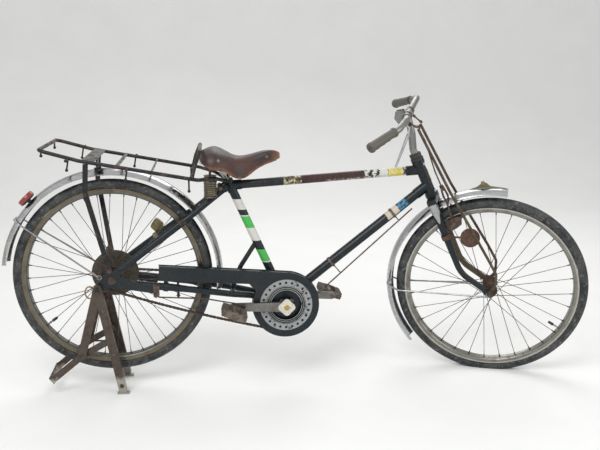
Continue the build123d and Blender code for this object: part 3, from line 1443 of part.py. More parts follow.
# Stand: two channel legs on each side, their braces, and a bow behind
LEG_END_RADIUS = STAND_WIDTH / 2
FOOT = (20, LEG_END_RADIUS + 1)
HIND_END = (-108, 140)
BOW = (-213, 51)
BRACE_Y = 68.3
with BuildPart() as stand:
    for side in (-1, 1):
        middle = side * (STAND_WEB_Y - STAND_DEPTH / 2)
        inside = side * (STAND_WEB_Y - STAND_WALL - 10)
        for end in (FOOT, HIND_END):
            stops = [(*PIVOT, LEG_END_RADIUS), (*end, LEG_END_RADIUS)]
            strap(FRAME, middle, stops, STAND_DEPTH)
        for end in (FOOT, HIND_END):
            slim = LEG_END_RADIUS - STAND_WALL
            strap(FRAME, inside, [(*PIVOT, slim), (*end, slim)], 20, Mode.SUBTRACT)
        # Foot, brace to the bow, and tie rod between the legs
        with Locations(FRAME * Location((22, middle, 2))):
            Box(40, STAND_DEPTH + 8, 4)
        brace = [(-14, BRACE_Y, 187), (-107, BRACE_Y, 137), at(BOW, BRACE_Y)]
        flat_bar(FRAME, mirrored(brace, side), 22, 4.4, (0.5, 0, -0.9))
        pin(FRAME, (-98, side * 74, 136), (-4, side * 74, 132), 3)
        web = (at(PIVOT, side * 70), at(PIVOT, side * 90))
        pin(FRAME, *web, PIVOT_RADIUS + SEAT, Mode.SUBTRACT)
    ends = [at(BOW, -BRACE_Y - 2.2), at(BOW, BRACE_Y + 2.2)]
    flat_bar(FRAME, ends, 26, 4, (0.6, 0, -0.8))
stand.part.label = "stand"
export_step(stand.part, "parts/stand.step")
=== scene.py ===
import json
from math import asin, atan2, copysign, cos, degrees, dist, pi, radians, sin, sqrt

import bmesh
import bpy
from mathutils import Matrix, Vector, noise


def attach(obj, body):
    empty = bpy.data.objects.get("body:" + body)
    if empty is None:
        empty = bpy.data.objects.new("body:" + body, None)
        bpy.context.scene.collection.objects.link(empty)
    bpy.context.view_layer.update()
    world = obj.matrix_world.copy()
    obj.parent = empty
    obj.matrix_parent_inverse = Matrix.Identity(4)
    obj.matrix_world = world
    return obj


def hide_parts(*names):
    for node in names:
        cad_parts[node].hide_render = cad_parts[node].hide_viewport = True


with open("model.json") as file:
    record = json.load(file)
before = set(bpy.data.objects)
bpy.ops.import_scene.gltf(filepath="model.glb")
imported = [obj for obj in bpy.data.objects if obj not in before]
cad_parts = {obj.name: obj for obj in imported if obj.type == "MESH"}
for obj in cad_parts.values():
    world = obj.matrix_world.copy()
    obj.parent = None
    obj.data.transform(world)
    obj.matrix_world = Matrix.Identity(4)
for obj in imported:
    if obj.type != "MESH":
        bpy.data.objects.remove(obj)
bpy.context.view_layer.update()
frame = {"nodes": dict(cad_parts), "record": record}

NODES = frame["nodes"]

# The drawing, in millimetres, has X forward from the rear axle, Y to the left of the middle
# plane and Z up from the floor. These two values take it to the frame, whose origin is under
# the middle of the box.
BOX_MIDDLE_X = 624.0
BOX_MIDDLE_Y = 16.0
MM = 0.001

# X and Z of the rear axle, the front axle and the crank
REAR = (0.0, 391.0)
FRONT = (1306.0, 320.0)
CRANK = (575.0, 287.0)
# X and Z of the steering axis at the bottom of the head tube, its lean, and its turn at rest
HEAD_X = 1084.0
HEAD_Z = 650.0
LEAN = radians(66)
REST_TURN = radians(-21.2)

SIDES = (-1, 1)


def place(x, y, z):
    """A point of the drawing, at its place in the frame."""
    return Vector(((x - BOX_MIDDLE_X) * MM, (y - BOX_MIDDLE_Y) * MM, z * MM))


HEAD_LOW = place(HEAD_X, 0, HEAD_Z)
HEAD_UP = Vector((-cos(LEAN), 0, sin(LEAN)))
STEERING = Matrix.Rotation(REST_TURN, 4, HEAD_UP)
STEERED = Matrix.Translation(HEAD_LOW) @ STEERING @ Matrix.Translation(-HEAD_LOW)
# The left side of the steering at rest
STEERED_LEFT = STEERED.to_3x3() @ Vector((0, 1, 0))


def turned(x, y, z):
    """The same for a point of the steering, which is drawn straight ahead."""
    return STEERED @ place(x, y, z)


def as_given(x, y, z):
    """A point that is in the frame already."""
    return Vector((x, y, z))


def head_point(up, y=0.0, out=0.0):
    """Point of the drawing beside the steering axis."""
    x = HEAD_X - up * cos(LEAN) + out * sin(LEAN)
    z = HEAD_Z + up * sin(LEAN) + out * cos(LEAN)
    return Vector((x, y, z))


def around(centre, radius, angle, y=0.0):
    """Point of the drawing at a radius and an angle, seen from the right side."""
    turn = radians(angle)
    return Vector((centre[0] + radius * cos(turn), y, centre[1] + radius * sin(turn)))


def turns(count):
    """Even steps round a circle, in radians."""
    return [2 * pi * step / count for step in range(count)]


def swung(first, second, angle):
    """Direction at an angle from the first one towards the second one."""
    return first * cos(angle) + second * sin(angle)


def along(start, end, distance):
    """Point at a distance from start towards end."""
    return Vector(start) + (Vector(end) - Vector(start)).normalized() * distance


class Shape:
    """Faces that are gathered into one piece. Sizes are millimetres of the drawing."""

    # Metres between points that are joined
    WELD = 2e-6

    def __init__(self, where=place):
        self.where = where
        self.points = []
        self.faces = []
        self.looks = []

    def skin(self, rows, around=False, closed=False, look=0):
        """Faces over rows of points. Around joins the ends of a row, closed the end rows."""
        first = len(self.points)
        width = len(rows[0])
        self.points += [self.where(*p) for row in rows for p in row]
        for r in range(len(rows) if closed else len(rows) - 1):
            here = first + r * width
            after = first + (r + 1) % len(rows) * width
            for c in range(width if around else width - 1):
                beside = (c + 1) % width
                self.faces.append((here + c, here + beside, after + beside, after + c))
                self.looks.append(look(r, c) if callable(look) else look)

    def lid(self, ring, look=0):
        """One flat face over a ring of points."""
        first = len(self.points)
        self.points += [self.where(*p) for p in ring]
        self.faces.append(tuple(range(first, first + len(ring))))
        self.looks.append(look)

    def capped(self, rows, look=0):
        """Rings of points with a flat face at both ends."""
        self.skin(rows, around=True, look=look)
        self.lid(rows[0], look)
        self.lid(rows[-1], look)

    def tube(self, path, radius, sides=12, look=0):
        """Bar along points. The radius may change from point to point."""
        path = [Vector(p) for p in path]
        radii = radius if isinstance(radius, list) else [radius] * len(path)
        side = None
        rows = []
        for number, point in enumerate(path):
            run = (path[min(number + 1, len(path) - 1)] - path[max(number - 1, 0)]).normalized()
            if side is None:
                side = run.orthogonal()
            side = (side - run * side.dot(run)).normalized()
            other = run.cross(side)
            rows.append([point + swung(side, other, turn) * radii[number] for turn in turns(sides)])
        self.capped(rows, look)

    def lathe(self, centre, axle, profile, steps, closed=False, look=0):
        """Profile of radius and height, turned about an axle through a centre."""
        axle = Vector(axle).normalized()
        side = axle.orthogonal().normalized()
        other = axle.cross(side)
        rows = []
        for turn in turns(steps):
            out = swung(side, other, turn)
            rows.append([Vector(centre) + out * r + axle * h for r, h in profile])
        self.skin(rows, around=closed, closed=True, look=look)

    def slab(self, outline, low, high, look=0):
        """Flat plate with an outline of x and z, between two y."""
        self.capped([[(x, y, z) for x, z in outline] for y in (low, high)], look)

    def bolt(self, point, out, radius, height, look=0):
        """Washer, hexagon head and screw end, standing out of a face."""
        washer = [(0, 0), (radius * 1.45, 0), (radius * 1.45, 1.2), (0, 1.2)]
        head = [(0, 1), (radius, 1), (radius, height), (radius * 0.8, height + 0.8), (0, height + 0.8)]
        end = [(0, height), (radius * 0.5, height), (radius * 0.45, height + 2.4), (0, height + 3)]
        for profile, steps in ((washer, 20), (head, 6), (end, 12)):
            self.lathe(point, out, profile, steps, look=look)

    def rivet(self, point, out, radius):
        """Low round head on a face."""
        profile = [(radius, -1)]
        for step in range(5):
            turn = step / 4 * pi / 2
            profile.append((radius * cos(turn), radius * 0.55 * sin(turn)))
        self.lathe(point, out, profile, 16)

    def build(self, name, looks, sharp=38):
        """Makes the object. Edges over the sharp angle stay hard."""
        mesh = bpy.data.meshes.new(name)
        mesh.from_pydata([tuple(p) for p in self.points], [], self.faces)
        for look in looks:
            mesh.materials.append(look)
        for polygon, look in zip(mesh.polygons, self.looks):
            polygon.material_index = look
            polygon.use_smooth = True
        form = bmesh.new()
        form.from_mesh(mesh)
        bmesh.ops.remove_doubles(form, verts=form.verts, dist=self.WELD)
        bmesh.ops.recalc_face_normals(form, faces=form.faces)
        for edge in form.edges:
            if len(edge.link_faces) == 2 and edge.calc_face_angle() > radians(sharp):
                edge.smooth = False
        form.to_mesh(mesh)
        form.free()
        piece = bpy.data.objects.new(name, mesh)
        bpy.context.collection.objects.link(piece)
        return piece

    def finish(self, name, body, looks, slot, replaces=(), sharp=38):
        """Makes the piece, which rides on a body and may replace nodes."""
        piece = self.build(name, looks, sharp)
        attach(piece, body)
        if replaces:
            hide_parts(*replaces)


def lathed(name, body, look, slot, centre, axle, profile, steps, where=place, closed=False):
    """A piece of one profile, turned about an axle."""
    shape = Shape(where)
    shape.lathe(centre, axle, profile, steps, closed)
    shape.finish(name, body, [look], slot)


def arithmetic(name):
    """A method of Nodes that works on two values."""
    return lambda self, a, b: self.pair("Math", name, a, b)["Value"]


class Nodes:
    """A node tree that is built up step by step. Over and under give 1 or 0."""

    plus = arithmetic("ADD")
    minus = arithmetic("SUBTRACT")
    times = arithmetic("MULTIPLY")
    most = arithmetic("MAXIMUM")
    over = arithmetic("GREATER_THAN")
    under = arithmetic("LESS_THAN")

    def __init__(self, tree):
        self.tree = tree

    def feed(self, socket, value):
        """Links or sets one input."""
        if hasattr(value, "is_linked"):
            self.tree.links.new(value, socket)
        else:
            socket.default_value = value

    def node(self, kind, **values):
        """A node with the named inputs fed."""
        node = self.tree.nodes.new("ShaderNode" + kind)
        for name, value in values.items():
            self.feed(node.inputs[name.replace("_", " ")], value)
        return node

    def pair(self, kind, operation, a, b):
        """Outputs of a node that works on its first two inputs."""
        node = self.node(kind)
        node.operation = operation
        self.feed(node.inputs[0], a)
        self.feed(node.inputs[1], b)
        return node.outputs


class Paint(Nodes):
    """A procedural material. Its places and distances are metres of the frame."""

    def __init__(self, name):
        self.material = bpy.data.materials.new(name)
        self.material.use_nodes = True
        super().__init__(self.material.node_tree)
        self.shader = self.tree.nodes["Principled BSDF"]
        self.place = self.node("TexCoord").outputs["Object"]

    def noise(self, scale, detail=4.0, roughness=0.55, stretch=None):
        """Soft random spots. The scale is in spots per metre."""
        where = self.place
        if stretch:
            where = self.node("Mapping", Vector=where, Scale=stretch).outputs["Vector"]
        node = self.node("TexNoise", Vector=where, Scale=scale, Detail=detail, Roughness=roughness)
        return node.outputs["Fac"]

    def cells(self, scale, feature="F1"):
        """Distance to the nearest of many random points, or to the edge between two."""
        node = self.node("TexVoronoi", Vector=self.place, Scale=scale)
        node.feature = feature
        return node.outputs["Distance"]

    def along(self, start, direction):
        """Distance from a point, along a direction."""
        shift = self.pair("VectorMath", "SUBTRACT", self.place, start)["Vector"]
        return self.pair("VectorMath", "DOT_PRODUCT", shift, Vector(direction).normalized())["Value"]

    def radius(self, centre, axle):
        """Distance from an axle."""
        shift = self.pair("VectorMath", "SUBTRACT", self.place, centre)["Vector"]
        across = self.pair("VectorMath", "CROSS_PRODUCT", shift, Vector(axle).normalized())["Vector"]
        return self.pair("VectorMath", "LENGTH", across, (0, 0, 0))["Value"]

    def height(self):
        """Height over the floor."""
        return self.node("SeparateXYZ", Vector=self.place).outputs["Z"]

    def spread(self, value, low, high, to_low=0.0, to_high=1.0):
        """Moves a value from one range to another and stops at its ends."""
        node = self.node("MapRange", Value=value, From_Min=low, From_Max=high, To_Min=to_low, To_Max=to_high)
        return node.outputs["Result"]

    def mix(self, factor, first, second):
        """Colour between two colours."""
        node = self.node("Mix")
        node.data_type = "RGBA"
        self.feed(node.inputs["Factor"], factor)
        colours = [entry for entry in node.inputs if entry.type == "RGBA"]
        for entry, colour in zip(colours, (first, second)):
            self.feed(entry, solid(colour))
        return next(out for out in node.outputs if out.type == "RGBA")

    def band(self, value, low, high):
        """1 between two values and 0 outside them."""
        return self.times(self.over(value, low), self.under(value, high))

    def bump(self, height, distance):
        """Fine relief, with the height of 1 raised by a distance."""
        node = self.node("Bump", Strength=1.0, Distance=distance, Height=height)
        self.feed(self.shader.inputs["Normal"], node.outputs["Normal"])

    def finish(self, colour, roughness=0.5, metallic=0.0, **more):
        """Sets the shader and returns the material."""
        values = {"Base_Color": solid(colour), "Roughness": roughness, "Metallic": metallic, **more}
        for name, value in values.items():
            self.feed(self.shader.inputs[name.replace("_", " ")], value)
        return self.material


def solid(colour):
    """A colour of three numbers gets its alpha. A socket stays as it is."""
    return (*colour, 1.0) if isinstance(colour, tuple) and len(colour) == 3 else colour


RUST = (0.095, 0.04, 0.02)
DARK_RUST = (0.04, 0.022, 0.015)
PRIMER = (0.075, 0.05, 0.036)
DUST = (0.17, 0.15, 0.125)
ENAMEL = (0.005, 0.011, 0.015)
WHITE = (0.6, 0.59, 0.55)
PALE = (0.62, 0.6, 0.5)
CREAM_LABEL = (0.5, 0.44, 0.25)
BEIGE = (0.56, 0.51, 0.4)
BLUE = (0.05, 0.2, 0.34)
YELLOW = (0.6, 0.5, 0.03)
GREEN = (0.06, 0.42, 0.08)
BROWN = (0.045, 0.02, 0.017)
OLIVE = (0.075, 0.06, 0.035)
ORANGE_HIDE = (0.32, 0.13, 0.05)


def enamel(name, colour=ENAMEL, wear=0.62, marks=None):
    """Old stoved paint: glossy and dark, dulled by dust, chipped to rust and brown primer."""
    paint = Paint(name)
    patches = paint.spread(paint.noise(22, 8, 0.7), wear, wear + 0.05)
    chips = paint.spread(paint.noise(160, 5, 0.7), 0.64, 0.68)
    haze = paint.spread(paint.noise(9, 5, 0.6), 0.35, 0.75, 0.0, 0.08)
    shade = paint.mix(haze, marks(paint) if marks else colour, DUST)
    shade = paint.mix(patches, shade, PRIMER)
    shade = paint.mix(chips, shade, RUST)
    worn = paint.most(patches, chips)
    dull = paint.spread(paint.noise(60, 6, 0.6), 0.3, 0.7, 0, 0.16)
    rough = paint.plus(paint.spread(worn, 0, 1, 0.2, 0.75), dull)
    paint.bump(paint.minus(paint.noise(300, 3), worn), 0.00025)
    return paint.finish(shade, rough, Specular_IOR_Level=0.3)


def plated(name, bright=(0.5, 0.505, 0.515), rust=0.62, streak=(1, 1, 1), marks=None, gloss=0.1):
    """Old chrome: bright, with grey haze in streaks and rust spots that spread."""
    paint = Paint(name)
    spots = paint.spread(paint.noise(200, 4, 0.7), rust + 0.03, rust + 0.1)
    blooms = paint.spread(paint.noise(28, 8, 0.7), rust - 0.02, rust + 0.12)
    haze = paint.spread(paint.noise(28, 4, 0.55, streak), 0.35, 0.75, 0.0, 0.6)
    shade = paint.mix(haze, bright, tuple(value * 0.5 for value in bright))
    dirt = paint.most(spots, paint.times(blooms, 0.7))
    shade = paint.mix(dirt, shade, RUST)
    metal = paint.spread(dirt, 0.1, 0.8, 1.0, 0.1)
    rough = paint.plus(paint.spread(haze, 0, 0.6, gloss, gloss + 0.2), paint.spread(dirt, 0, 1, 0, 0.5))
    if marks:
        mask, tone = marks(paint)
        shade = paint.mix(mask, shade, tone)
        metal = paint.times(metal, paint.spread(mask, 0, 1, 1, 0))
        rough = paint.most(rough, paint.spread(mask, 0, 1, 0, 0.55))
    paint.bump(paint.plus(paint.noise(60, 2), dirt), 0.0001)
    return paint.finish(shade, rough, metal)


def rusted(name, metal_colour=(0.16, 0.145, 0.13), rust=0.45, tone=RUST, marks=None):
    """Bare steel, mostly brown with rust, with grey rubbed places."""
    paint = Paint(name)
    cover = paint.spread(paint.noise(45, 9, 0.72), rust - 0.1, rust + 0.12)
    grain = paint.noise(420, 5, 0.7)
    shade = paint.mix(cover, metal_colour, paint.mix(grain, tone, DARK_RUST))
    metal = paint.spread(cover, 0, 1, 0.85, 0.05)
    if marks:
        mask, colour = marks(paint)
        shade = paint.mix(mask, shade, colour)
        metal = paint.times(metal, paint.spread(mask, 0, 1, 1, 0.1))
    paint.bump(paint.plus(grain, cover), 0.0004)
    return paint.finish(shade, paint.spread(cover, 0, 1, 0.38, 0.85), metal)


def aged_rubber(name, colour=(0.012, 0.015, 0.018), dust=(0.15, 0.15, 0.14), amount=0.55):
    """Rubber, greyed by dust, with fine cracks and pale scuffs."""
    paint = Paint(name)
    powder = paint.spread(paint.noise(26, 7, 0.65), 0.42, 0.72, 0.0, amount)
    scuffs = paint.spread(paint.noise(80, 7, 0.8), 0.55, 0.64, 0.0, 0.85)
    specks = paint.spread(paint.noise(420, 4, 0.7), 0.66, 0.7, 0.0, 0.5)
    shade = paint.mix(powder, colour, dust)
    shade = paint.mix(scuffs, shade, (0.2, 0.2, 0.19))
    shade = paint.mix(specks, shade, (0.24, 0.24, 0.22))
    paint.bump(paint.plus(paint.cells(520), paint.noise(900, 2)), 0.0004)
    return paint.finish(shade, paint.spread(powder, 0, 0.5, 0.42, 0.85), Specular_IOR_Level=0.35)


def hide(name, tone=(0.062, 0.024, 0.017), tan=0.12):
    """Dark saddle leather, worn to a tone, to orange at the nose, and by tan to orange low down."""
    paint = Paint(name)
    polish = paint.noise(16, 6, 0.6)
    cracks = paint.spread(paint.cells(230, "DISTANCE_TO_EDGE"), 0.0, 0.03, 1.0, 0.0)
    shade = paint.mix(paint.spread(polish, 0.42, 0.6), (0.024, 0.015, 0.015), tone)
    nose = paint.spread(paint.along(place(528, 0, 0), (1, 0, 0)), 0.0, 0.03)
    low = paint.spread(paint.height(), 0.772, 0.735)
    front_low = paint.spread(paint.along(place(470, 0, 765), (0.25, 0, -0.97)), -0.012, 0.012)
    worn = paint.most(paint.most(nose, paint.times(low, tan)), paint.times(front_low, tan))
    patchy = paint.spread(paint.noise(45, 7, 0.75), 0.36, 0.62)
    shade = paint.mix(paint.times(worn, patchy), shade, ORANGE_HIDE)
    scratches = paint.spread(paint.noise(120, 6, 0.78), 0.6, 0.7, 0, 0.5)
    shade = paint.mix(scratches, shade, (0.2, 0.15, 0.11))
    paint.bump(paint.minus(paint.noise(420, 4), cracks), 0.0005)
    return paint.finish(shade, paint.spread(polish, 0.35, 0.65, 0.28, 0.5))


def plastic(name, colour, rough=0.5):
    """Old coloured plastic or enamel, with dirt in it."""
    paint = Paint(name)
    dirt = paint.spread(paint.noise(150, 7, 0.7), 0.5, 0.72, 0.0, 0.6)
    paint.bump(paint.noise(600, 3), 0.0002)
    shade = paint.mix(dirt, colour, (0.05, 0.045, 0.04))
    return paint.finish(shade, paint.spread(dirt, 0, 0.6, rough, rough + 0.25))


def greasy(name):
    """Chain steel under old dark grease."""
    paint = Paint(name)
    grease = paint.noise(120, 7, 0.7)
    shade = paint.mix(paint.spread(grease, 0.42, 0.62), (0.07, 0.05, 0.035), (0.014, 0.012, 0.011))
    paint.bump(grease, 0.0005)
    rough = paint.spread(grease, 0.3, 0.7, 0.35, 0.7)
    return paint.finish(shade, rough, paint.spread(grease, 0.3, 0.7, 0.7, 0.2))


# Bands of the seat tube: lowest and highest millimetre, and colour
SEAT_TUBE_BANDS = (
    (426, 430, WHITE), (430, 471, GREEN), (502, 547, WHITE),
    (547, 587, GREEN), (587, 591, WHITE), (610, 646, WHITE),
)
TOP_FRONT = head_point(92)
TOP_BACK = Vector((394.7, 0, 692))
DOWN_FRONT = head_point(34)
DOWN_BACK = Vector((575, 0, 291))


def seat_tube_marks(paint):
    """White and green bands round the tube."""
    height = paint.height()
    shade = ENAMEL
    for low, high, colour in SEAT_TUBE_BANDS:
        shade = paint.mix(paint.band(height, low * MM, high * MM), shade, colour)
    return shade


def top_tube_marks(paint):
    """From the head: dark, yellow, torn white, brown with a white line below, and a torn label."""
    run = (TOP_BACK - TOP_FRONT).normalized()
    start = place(*TOP_FRONT)
    way = paint.along(start, run)
    edge = paint.plus(way, paint.spread(paint.noise(90, 5, 0.7), 0, 1, -0.006, 0.006))
    flakes = paint.over(paint.noise(75, 8, 0.75), 0.5)
    torn = paint.over(paint.noise(110, 8, 0.8), 0.52)
    low = paint.spread(paint.along(start, (run.z, 0, -run.x)), -0.004, -0.009)
    brown = paint.minus(paint.spread(way, 0.19, 0.22), paint.spread(way, 0.38, 0.45))
    brown = paint.most(brown, paint.times(paint.spread(paint.noise(38, 6, 0.7), 0.52, 0.6), 0.8))
    shade = paint.mix(brown, ENAMEL, BROWN)
    for mask, colour in (
        (paint.times(paint.band(edge, 0.12, 0.33), paint.times(low, torn)), WHITE),
        (paint.times(paint.band(edge, 0.415, 0.475), torn), CREAM_LABEL),
        (paint.times(paint.band(edge, 0.118, 0.2), flakes), WHITE),
        (paint.band(edge, 0.118, 0.145), WHITE),
        (paint.band(way, 0.066, 0.117), YELLOW),
        (paint.times(paint.band(way, 0.056, 0.12), torn), PALE),
        (paint.band(way, 0.0, 0.055), ENAMEL),
    ):
        shade = paint.mix(mask, shade, colour)
    return shade


def down_tube_marks(paint):
    """Torn blue and beige label on the upper half of the tube."""
    way = paint.along(place(*DOWN_FRONT), DOWN_BACK - DOWN_FRONT)
    edge = paint.plus(way, paint.spread(paint.noise(60, 6, 0.7), 0, 1, -0.008, 0.008))
    upper = paint.over(paint.along(place(*DOWN_FRONT), (-0.43, -0.7, 0.55)), 0.003)
    torn = paint.over(paint.noise(70, 7, 0.75), 0.47)
    blue = paint.times(paint.times(paint.band(edge, 0.092, 0.13), upper), torn)
    beige = paint.times(paint.band(edge, 0.13, 0.178), upper)
    return paint.mix(beige, paint.mix(blue, ENAMEL, BLUE), BEIGE)


def fork_marks(paint):
    """The left blade is bleached to a brown olive, the right one is still dark."""
    side = paint.along(HEAD_LOW, STEERED_LEFT)
    return paint.mix(paint.spread(side, 0.028, 0.034), ENAMEL, OLIVE)


def crest_marks(paint):
    """The crest on the front guard is bare and yellowed."""
    reach = paint.radius(turned(*around(FRONT, 0, 0)), STEERED_LEFT)
    return paint.spread(reach, 0.3655, 0.3665), (0.13, 0.115, 0.05)


def tail_marks(paint):
    """Remains of a yellow mark near the tail of the rear guard."""
    start = place(*around(REAR, 362, 163))
    run = (0.29, 0, 0.96)
    patch = paint.band(paint.along(start, run), -0.025, 0.025)
    patch = paint.times(patch, paint.over(paint.noise(60, 5), 0.47))
    return paint.times(patch, paint.under(paint.radius(start, run), 0.02)), (0.55, 0.42, 0.05)


def foot_marks(paint):
    """The feet of the stand are worn to pale bare metal."""
    height = paint.plus(paint.height(), paint.spread(paint.noise(80, 6), 0, 1, -0.02, 0.02))
    return paint.spread(height, 0.05, 0.062, 1, 0), (0.3, 0.28, 0.24)


def case_marks(paint):
    """Bare bright rings round the crank, on the raised front of the chain case."""
    centre = place(CRANK[0], -64, CRANK[1])
    reach = paint.radius(centre, (0, 1, 0))
    raised = paint.under(paint.along(centre, (0, 1, 0)), 0.0016)
    rings = paint.band(reach, 0.0675, 0.0895)
    for inner, outer in ((0.052, 0.0543), (0.0582, 0.0604), (0.0642, 0.0664)):
        rings = paint.most(rings, paint.band(reach, inner, outer))
    worn = paint.spread(paint.noise(55, 6, 0.7), 0.34, 0.44)
    return paint.mix(paint.times(paint.times(rings, raised), worn), ENAMEL, (0.3, 0.31, 0.31))


SURFACES = {
    "frame_paint": enamel("frame_enamel"),
    "case_paint": enamel("case_enamel", wear=0.66),
    "carrier_paint": enamel("carrier_enamel", (0.006, 0.008, 0.01), 0.53),
    "chrome": plated("old_chrome"),
    "dull_steel": plated("dull_steel", (0.42, 0.42, 0.41), 0.54),
    "rusty_steel": rusted("rusty_steel"),
    "chain_steel": greasy("chain_steel"),
    "tyre": aged_rubber("tyre_rubber"),
    "rubber": aged_rubber("block_rubber", (0.03, 0.03, 0.03)),
    "grip": plastic("grip_plastic", (0.09, 0.086, 0.068), 0.45),
    "leather": hide("saddle_leather"),
    "reflector": plastic("red_lens", (0.24, 0.03, 0.018), 0.22),
    "lock_brass": rusted("lock_brass", (0.25, 0.21, 0.11), 0.6),
}
OLIVE_STEEL = rusted("olive_steel", (0.14, 0.12, 0.075), 0.42, (0.075, 0.055, 0.03))
STAY_CHROME = plated("stay_chrome", (0.36, 0.365, 0.37), 0.68, gloss=0.12)
NUT_STEEL = rusted("nut_steel", (0.13, 0.11, 0.09), 0.5, (0.055, 0.036, 0.026))
# Nodes whose look differs from that of their slot
OWN_LOOKS = {
    "seat_tube": enamel("seat_tube_enamel", marks=seat_tube_marks),
    "top_tube": enamel("top_tube_enamel", marks=top_tube_marks),
    "down_tube": enamel("down_tube_enamel", marks=down_tube_marks),
    "chain_case": enamel("case_enamel_rings", wear=0.66, marks=case_marks),
    "handlebar": plated("bar_alloy", (0.27, 0.27, 0.26), 0.6, gloss=0.3),
    "rear_guard_stays": STAY_CHROME,
    "front_guard_stay": STAY_CHROME,
    "crankset": plated("crank_steel", (0.2, 0.195, 0.18), 0.58, gloss=0.25),
    "rear_axle": NUT_STEEL,
    "front_axle": OLIVE_STEEL,
    "lamp_bracket": plated("bracket_alloy", (0.24, 0.25, 0.24), 0.6, gloss=0.3),
    "fork": enamel("fork_enamel", marks=fork_marks),
    "fork_stays": OLIVE_STEEL,
    "front_hub": rusted("hub_rust", (0.12, 0.095, 0.06), 0.38, (0.078, 0.042, 0.026)),
    "front_mudguard": plated("front_guard_chrome", streak=(1, 1, 6), marks=crest_marks),
    "rear_mudguard": plated("rear_guard_chrome", rust=0.58, streak=(1, 1, 6), marks=tail_marks),
    "side_reflector": rusted("red_rust", (0.15, 0.09, 0.065), 0.45, (0.09, 0.042, 0.03)),
    "stand": rusted("stand_steel", (0.1, 0.085, 0.07), 0.5, (0.068, 0.044, 0.034), foot_marks),
    "headset": rusted("headset_steel", (0.07, 0.07, 0.065), 0.52, (0.04, 0.03, 0.025)),
    "rear_brake_plate": rusted("drum_steel", (0.1, 0.095, 0.078), 0.55, (0.055, 0.045, 0.031)),
}
for row in frame["record"]["subparts"]:
    node = NODES[row["node"]]
    node.data.materials.clear()
    node.data.materials.append(OWN_LOOKS.get(row["node"], SURFACES[row["material_slot"]]))

ENAMELLED = SURFACES["frame_paint"]
IRON = SURFACES["rusty_steel"]
BLACK = plastic("black_rubber_cap", (0.02, 0.02, 0.02), 0.6)
CREAM = plastic("cream_enamel", (0.62, 0.6, 0.52), 0.3)

# Tyres: zigzag grooves in the tread, short ribs on the shoulders, raised rings on the walls
TYRE_MIDDLE = 310.0
TYRE_SECTION = 19.6
TYRE_STEPS = 840
TREAD_PERIODS = 210
GROOVES = (-30, 0, 30)
GROOVE_DEPTH = 1.3
RIB_DEPTH = 0.9
WALL_DEPTH = 0.35
FRONT_FLAT = 10.0


def tread_depth(turn, angle):
    """Depth of the pattern below the rubber's face, at a turn round the wheel and an angle across."""
    phase = turn * TREAD_PERIODS % 1.0
    zigzag = abs(phase - 0.5) * 8 - 2
    if any(abs(angle - groove - zigzag) < 4.5 for groove in GROOVES):
        return GROOVE_DEPTH
    lean = abs(angle)
    if 48 < lean < 72:
        return RIB_DEPTH if phase < 0.4 else 0.0
    ring = abs(lean - 82) < 4 or abs(lean - 100) < 3
    return WALL_DEPTH if lean > 76 and not ring else 0.0


def tyre(name, node, body, where, centre, sink):
    """Tyre over a whole turn. The soft one is pressed flat by sink and bulges at the floor."""
    half = [122, 112, 103, 100, 97, 86, 82, 78, 72, 60, 48, 42, 36, 33, 30, 27, 24, 12, 6, 3]
    angles = [*(-angle for angle in half), 0, *reversed(half)]
    rows = []
    for step in range(TYRE_STEPS):
        turn = step / TYRE_STEPS
        spin = 360 * turn - 90
        # 0 at the ends of the flat, 1 in its middle
        flat = max(0.0, (cos(radians(spin + 90)) - 0.93) / 0.07)
        swell = flat ** 1.5 * sink * 0.45
        row = []
        for angle in angles:
            lean = radians(angle)
            reach = TYRE_SECTION - tread_depth(turn, angle)
            side = reach * sin(lean)
            if side:
                side += copysign(swell, side) * min(1.0, abs(side) / 12)
            point = where(*around(centre, TYRE_MIDDLE + reach * cos(lean), spin, side))
            point.z = max(point.z, 0.0)
            row.append(point)
        rows.append(row)
    shape = Shape(as_given)
    shape.skin(rows, around=True, closed=True)
    shape.finish(name, body, [SURFACES["tyre"]], "tyre", [node])


tyre("rear_tyre_tread", "rear_tyre", "rear_wheel", place, REAR, 0.0)
tyre("front_tyre_tread", "front_tyre", "front_wheel", turned, FRONT, FRONT_FLAT)

# Rims with rolled edges. Half of the section: radius, and distance from the middle
RIM_HALF = [
    (299.0, 16.6), (298.6, 17.6), (296.4, 18.3), (294.4, 17.9),
    (293.0, 16.8), (290.0, 16.6), (286.0, 17.2), (283.2, 15.8),
    (281.0, 12.4), (280.2, 9.0), (281.2, 6.0), (281.6, 0.0),
]
RIM_STEPS = 180
ROLLED = 4


def rim(name, node, body, where, centre, wall, edge):
    """Rim of a channel form. Its rolled edges have a colour of their own."""
    profile = RIM_HALF + [(r, -y) for r, y in reversed(RIM_HALF[:-1])]
    last = len(profile) - 1
    rolled = [*range(ROLLED), *range(last - ROLLED, last)]
    rows = [[around(centre, r, step * 360 / RIM_STEPS, y) for r, y in profile] for step in range(RIM_STEPS)]
    shape = Shape(where)
    shape.skin(rows, around=True, closed=True, look=lambda r, c: int(c in rolled))
    shape.finish(name, body, [wall, edge], "dull_steel", [node], 50)


rim("rear_rim_channel", "rear_rim", "rear_wheel", place, REAR,
    plated("rear_rim_wall", (0.17, 0.165, 0.14), 0.6, gloss=0.3),
    plated("rear_rim_edge", (0.2, 0.155, 0.095), 0.6, gloss=0.25))
rim("front_rim_channel", "front_rim", "front_wheel", turned, FRONT,
    plated("front_rim_wall", (0.25, 0.245, 0.215), 0.6, gloss=0.25),
    plated("front_rim_edge", (0.46, 0.45, 0.41), 0.62, gloss=0.2))

# Lacing, on the same lines as the spokes of the hubs
SPOKE_LEAN = 66.0
SPOKE_CIRCLE = 22
SPOKE_FOOT = 281.5


